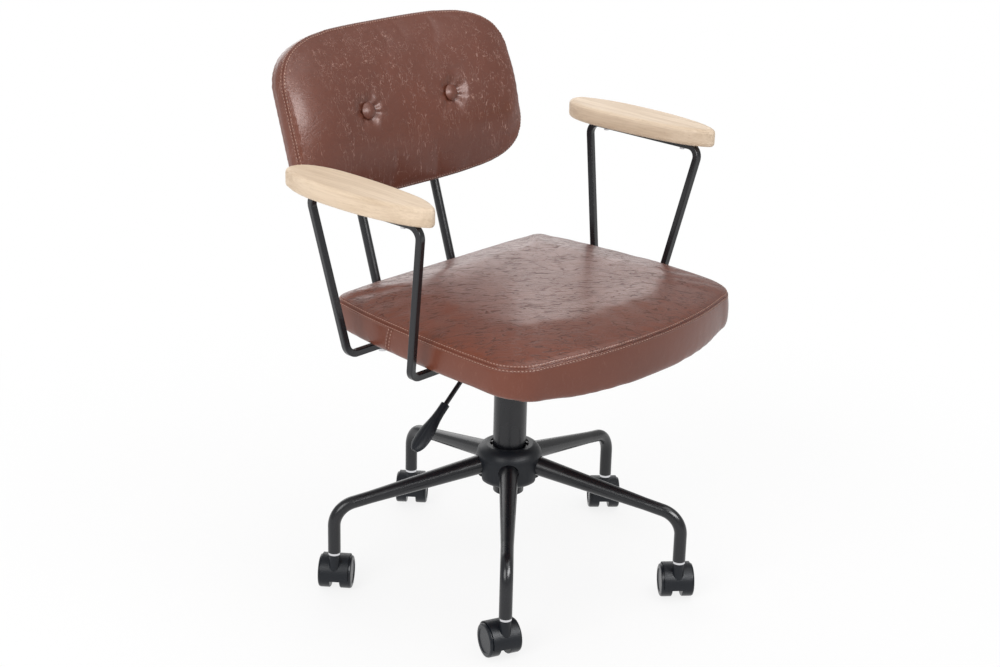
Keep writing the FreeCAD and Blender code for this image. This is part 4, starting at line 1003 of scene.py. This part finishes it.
class CHAIR_OT_stage(bpy.types.Operator):
    """Lay the floor, place the lamps and set up the camera"""

    bl_idname = "chair.stage"
    bl_label = "Stage"

    def execute(self, context):
        stage = context.scene.chair_stage
        bm = bmesh.new()
        bmesh.ops.create_grid(bm, x_segments=1, y_segments=1, size=stage.floor_size / 2)
        floor = from_bmesh("floor", bm)
        floor.data.materials.append(floor_material())
        white_room()
        middle = (0.0, 0.0, 0.45)
        lamp("Key", (-2.6, -0.4, 1.9), middle, (1.6, 1.6), stage.key_power)
        lamp("Rear", (1.6, 2.6, 1.3), middle, (3.2, 1.6), stage.rear_power)
        lamp("Fill", (0.4, -0.8, 3.2), middle, (2.4, 2.4), stage.fill_power)
        front = lamp("Front", (-0.1, -2.1, 1.85), (0.0, 0.2, 0.7), (1.9, 1.0), stage.front_power)
        front.visible_diffuse = False
        self.add_camera(context, stage)
        context.scene.view_settings.view_transform = "Standard"
        return {"FINISHED"}

    def add_camera(self, context, stage):
        """The camera at the photographed angle."""
        azimuth, elevation = stage.camera_azimuth, stage.camera_elevation
        toward = Vector((math.sin(azimuth) * math.cos(elevation), -math.cos(azimuth) * math.cos(elevation),
                         math.sin(elevation)))
        level = Vector((math.cos(azimuth), math.sin(azimuth), 0))
        right = level * math.cos(stage.camera_roll) + toward.cross(level) * math.sin(stage.camera_roll)
        data = bpy.data.cameras.new("Camera")
        data.sensor_width = 36.0
        data.lens = stage.camera_lens
        camera = bpy.data.objects.new("Camera", data)
        context.scene.collection.objects.link(camera)
        place = Matrix((right, toward.cross(right), toward)).transposed().to_4x4()
        place.translation = Vector(stage.camera_target) + toward * stage.camera_distance
        camera.matrix_world = place
        context.scene.camera = camera


class CHAIR_PT_panel(bpy.types.Panel):
    """The chair's pieces and settings"""

    bl_label = "Swivel Chair"
    bl_idname = "CHAIR_PT_panel"
    bl_space_type = "VIEW_3D"
    bl_region_type = "UI"
    bl_category = "Swivel Chair"

    def draw(self, context):
        for operator in OPERATORS:
            self.layout.operator(operator.bl_idname)


OPERATORS = (CHAIR_OT_finishes, CHAIR_OT_seat, CHAIR_OT_back, CHAIR_OT_stage)
SETTINGS = {"chair_padding": PaddingSettings, "chair_seam": SeamSettings, "chair_finish": FinishSettings,
            "chair_stage": StageSettings}


def register():
    for settings in SETTINGS.values():
        bpy.utils.register_class(settings)
    for name, settings in SETTINGS.items():
        setattr(bpy.types.Scene, name, PointerProperty(type=settings))
    for operator in OPERATORS:
        bpy.utils.register_class(operator)
    bpy.utils.register_class(CHAIR_PT_panel)


def unregister():
    bpy.utils.unregister_class(CHAIR_PT_panel)
    for operator in reversed(OPERATORS):
        bpy.utils.unregister_class(operator)
    for name in SETTINGS:
        delattr(bpy.types.Scene, name)
    for settings in reversed(SETTINGS.values()):
        bpy.utils.unregister_class(settings)


def main():
    """Make every piece."""
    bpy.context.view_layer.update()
    register()
    bpy.ops.chair.finishes()
    bpy.ops.chair.seat()
    bpy.ops.chair.back()
    bpy.ops.chair.stage()


if __name__ == "__main__":
    main()
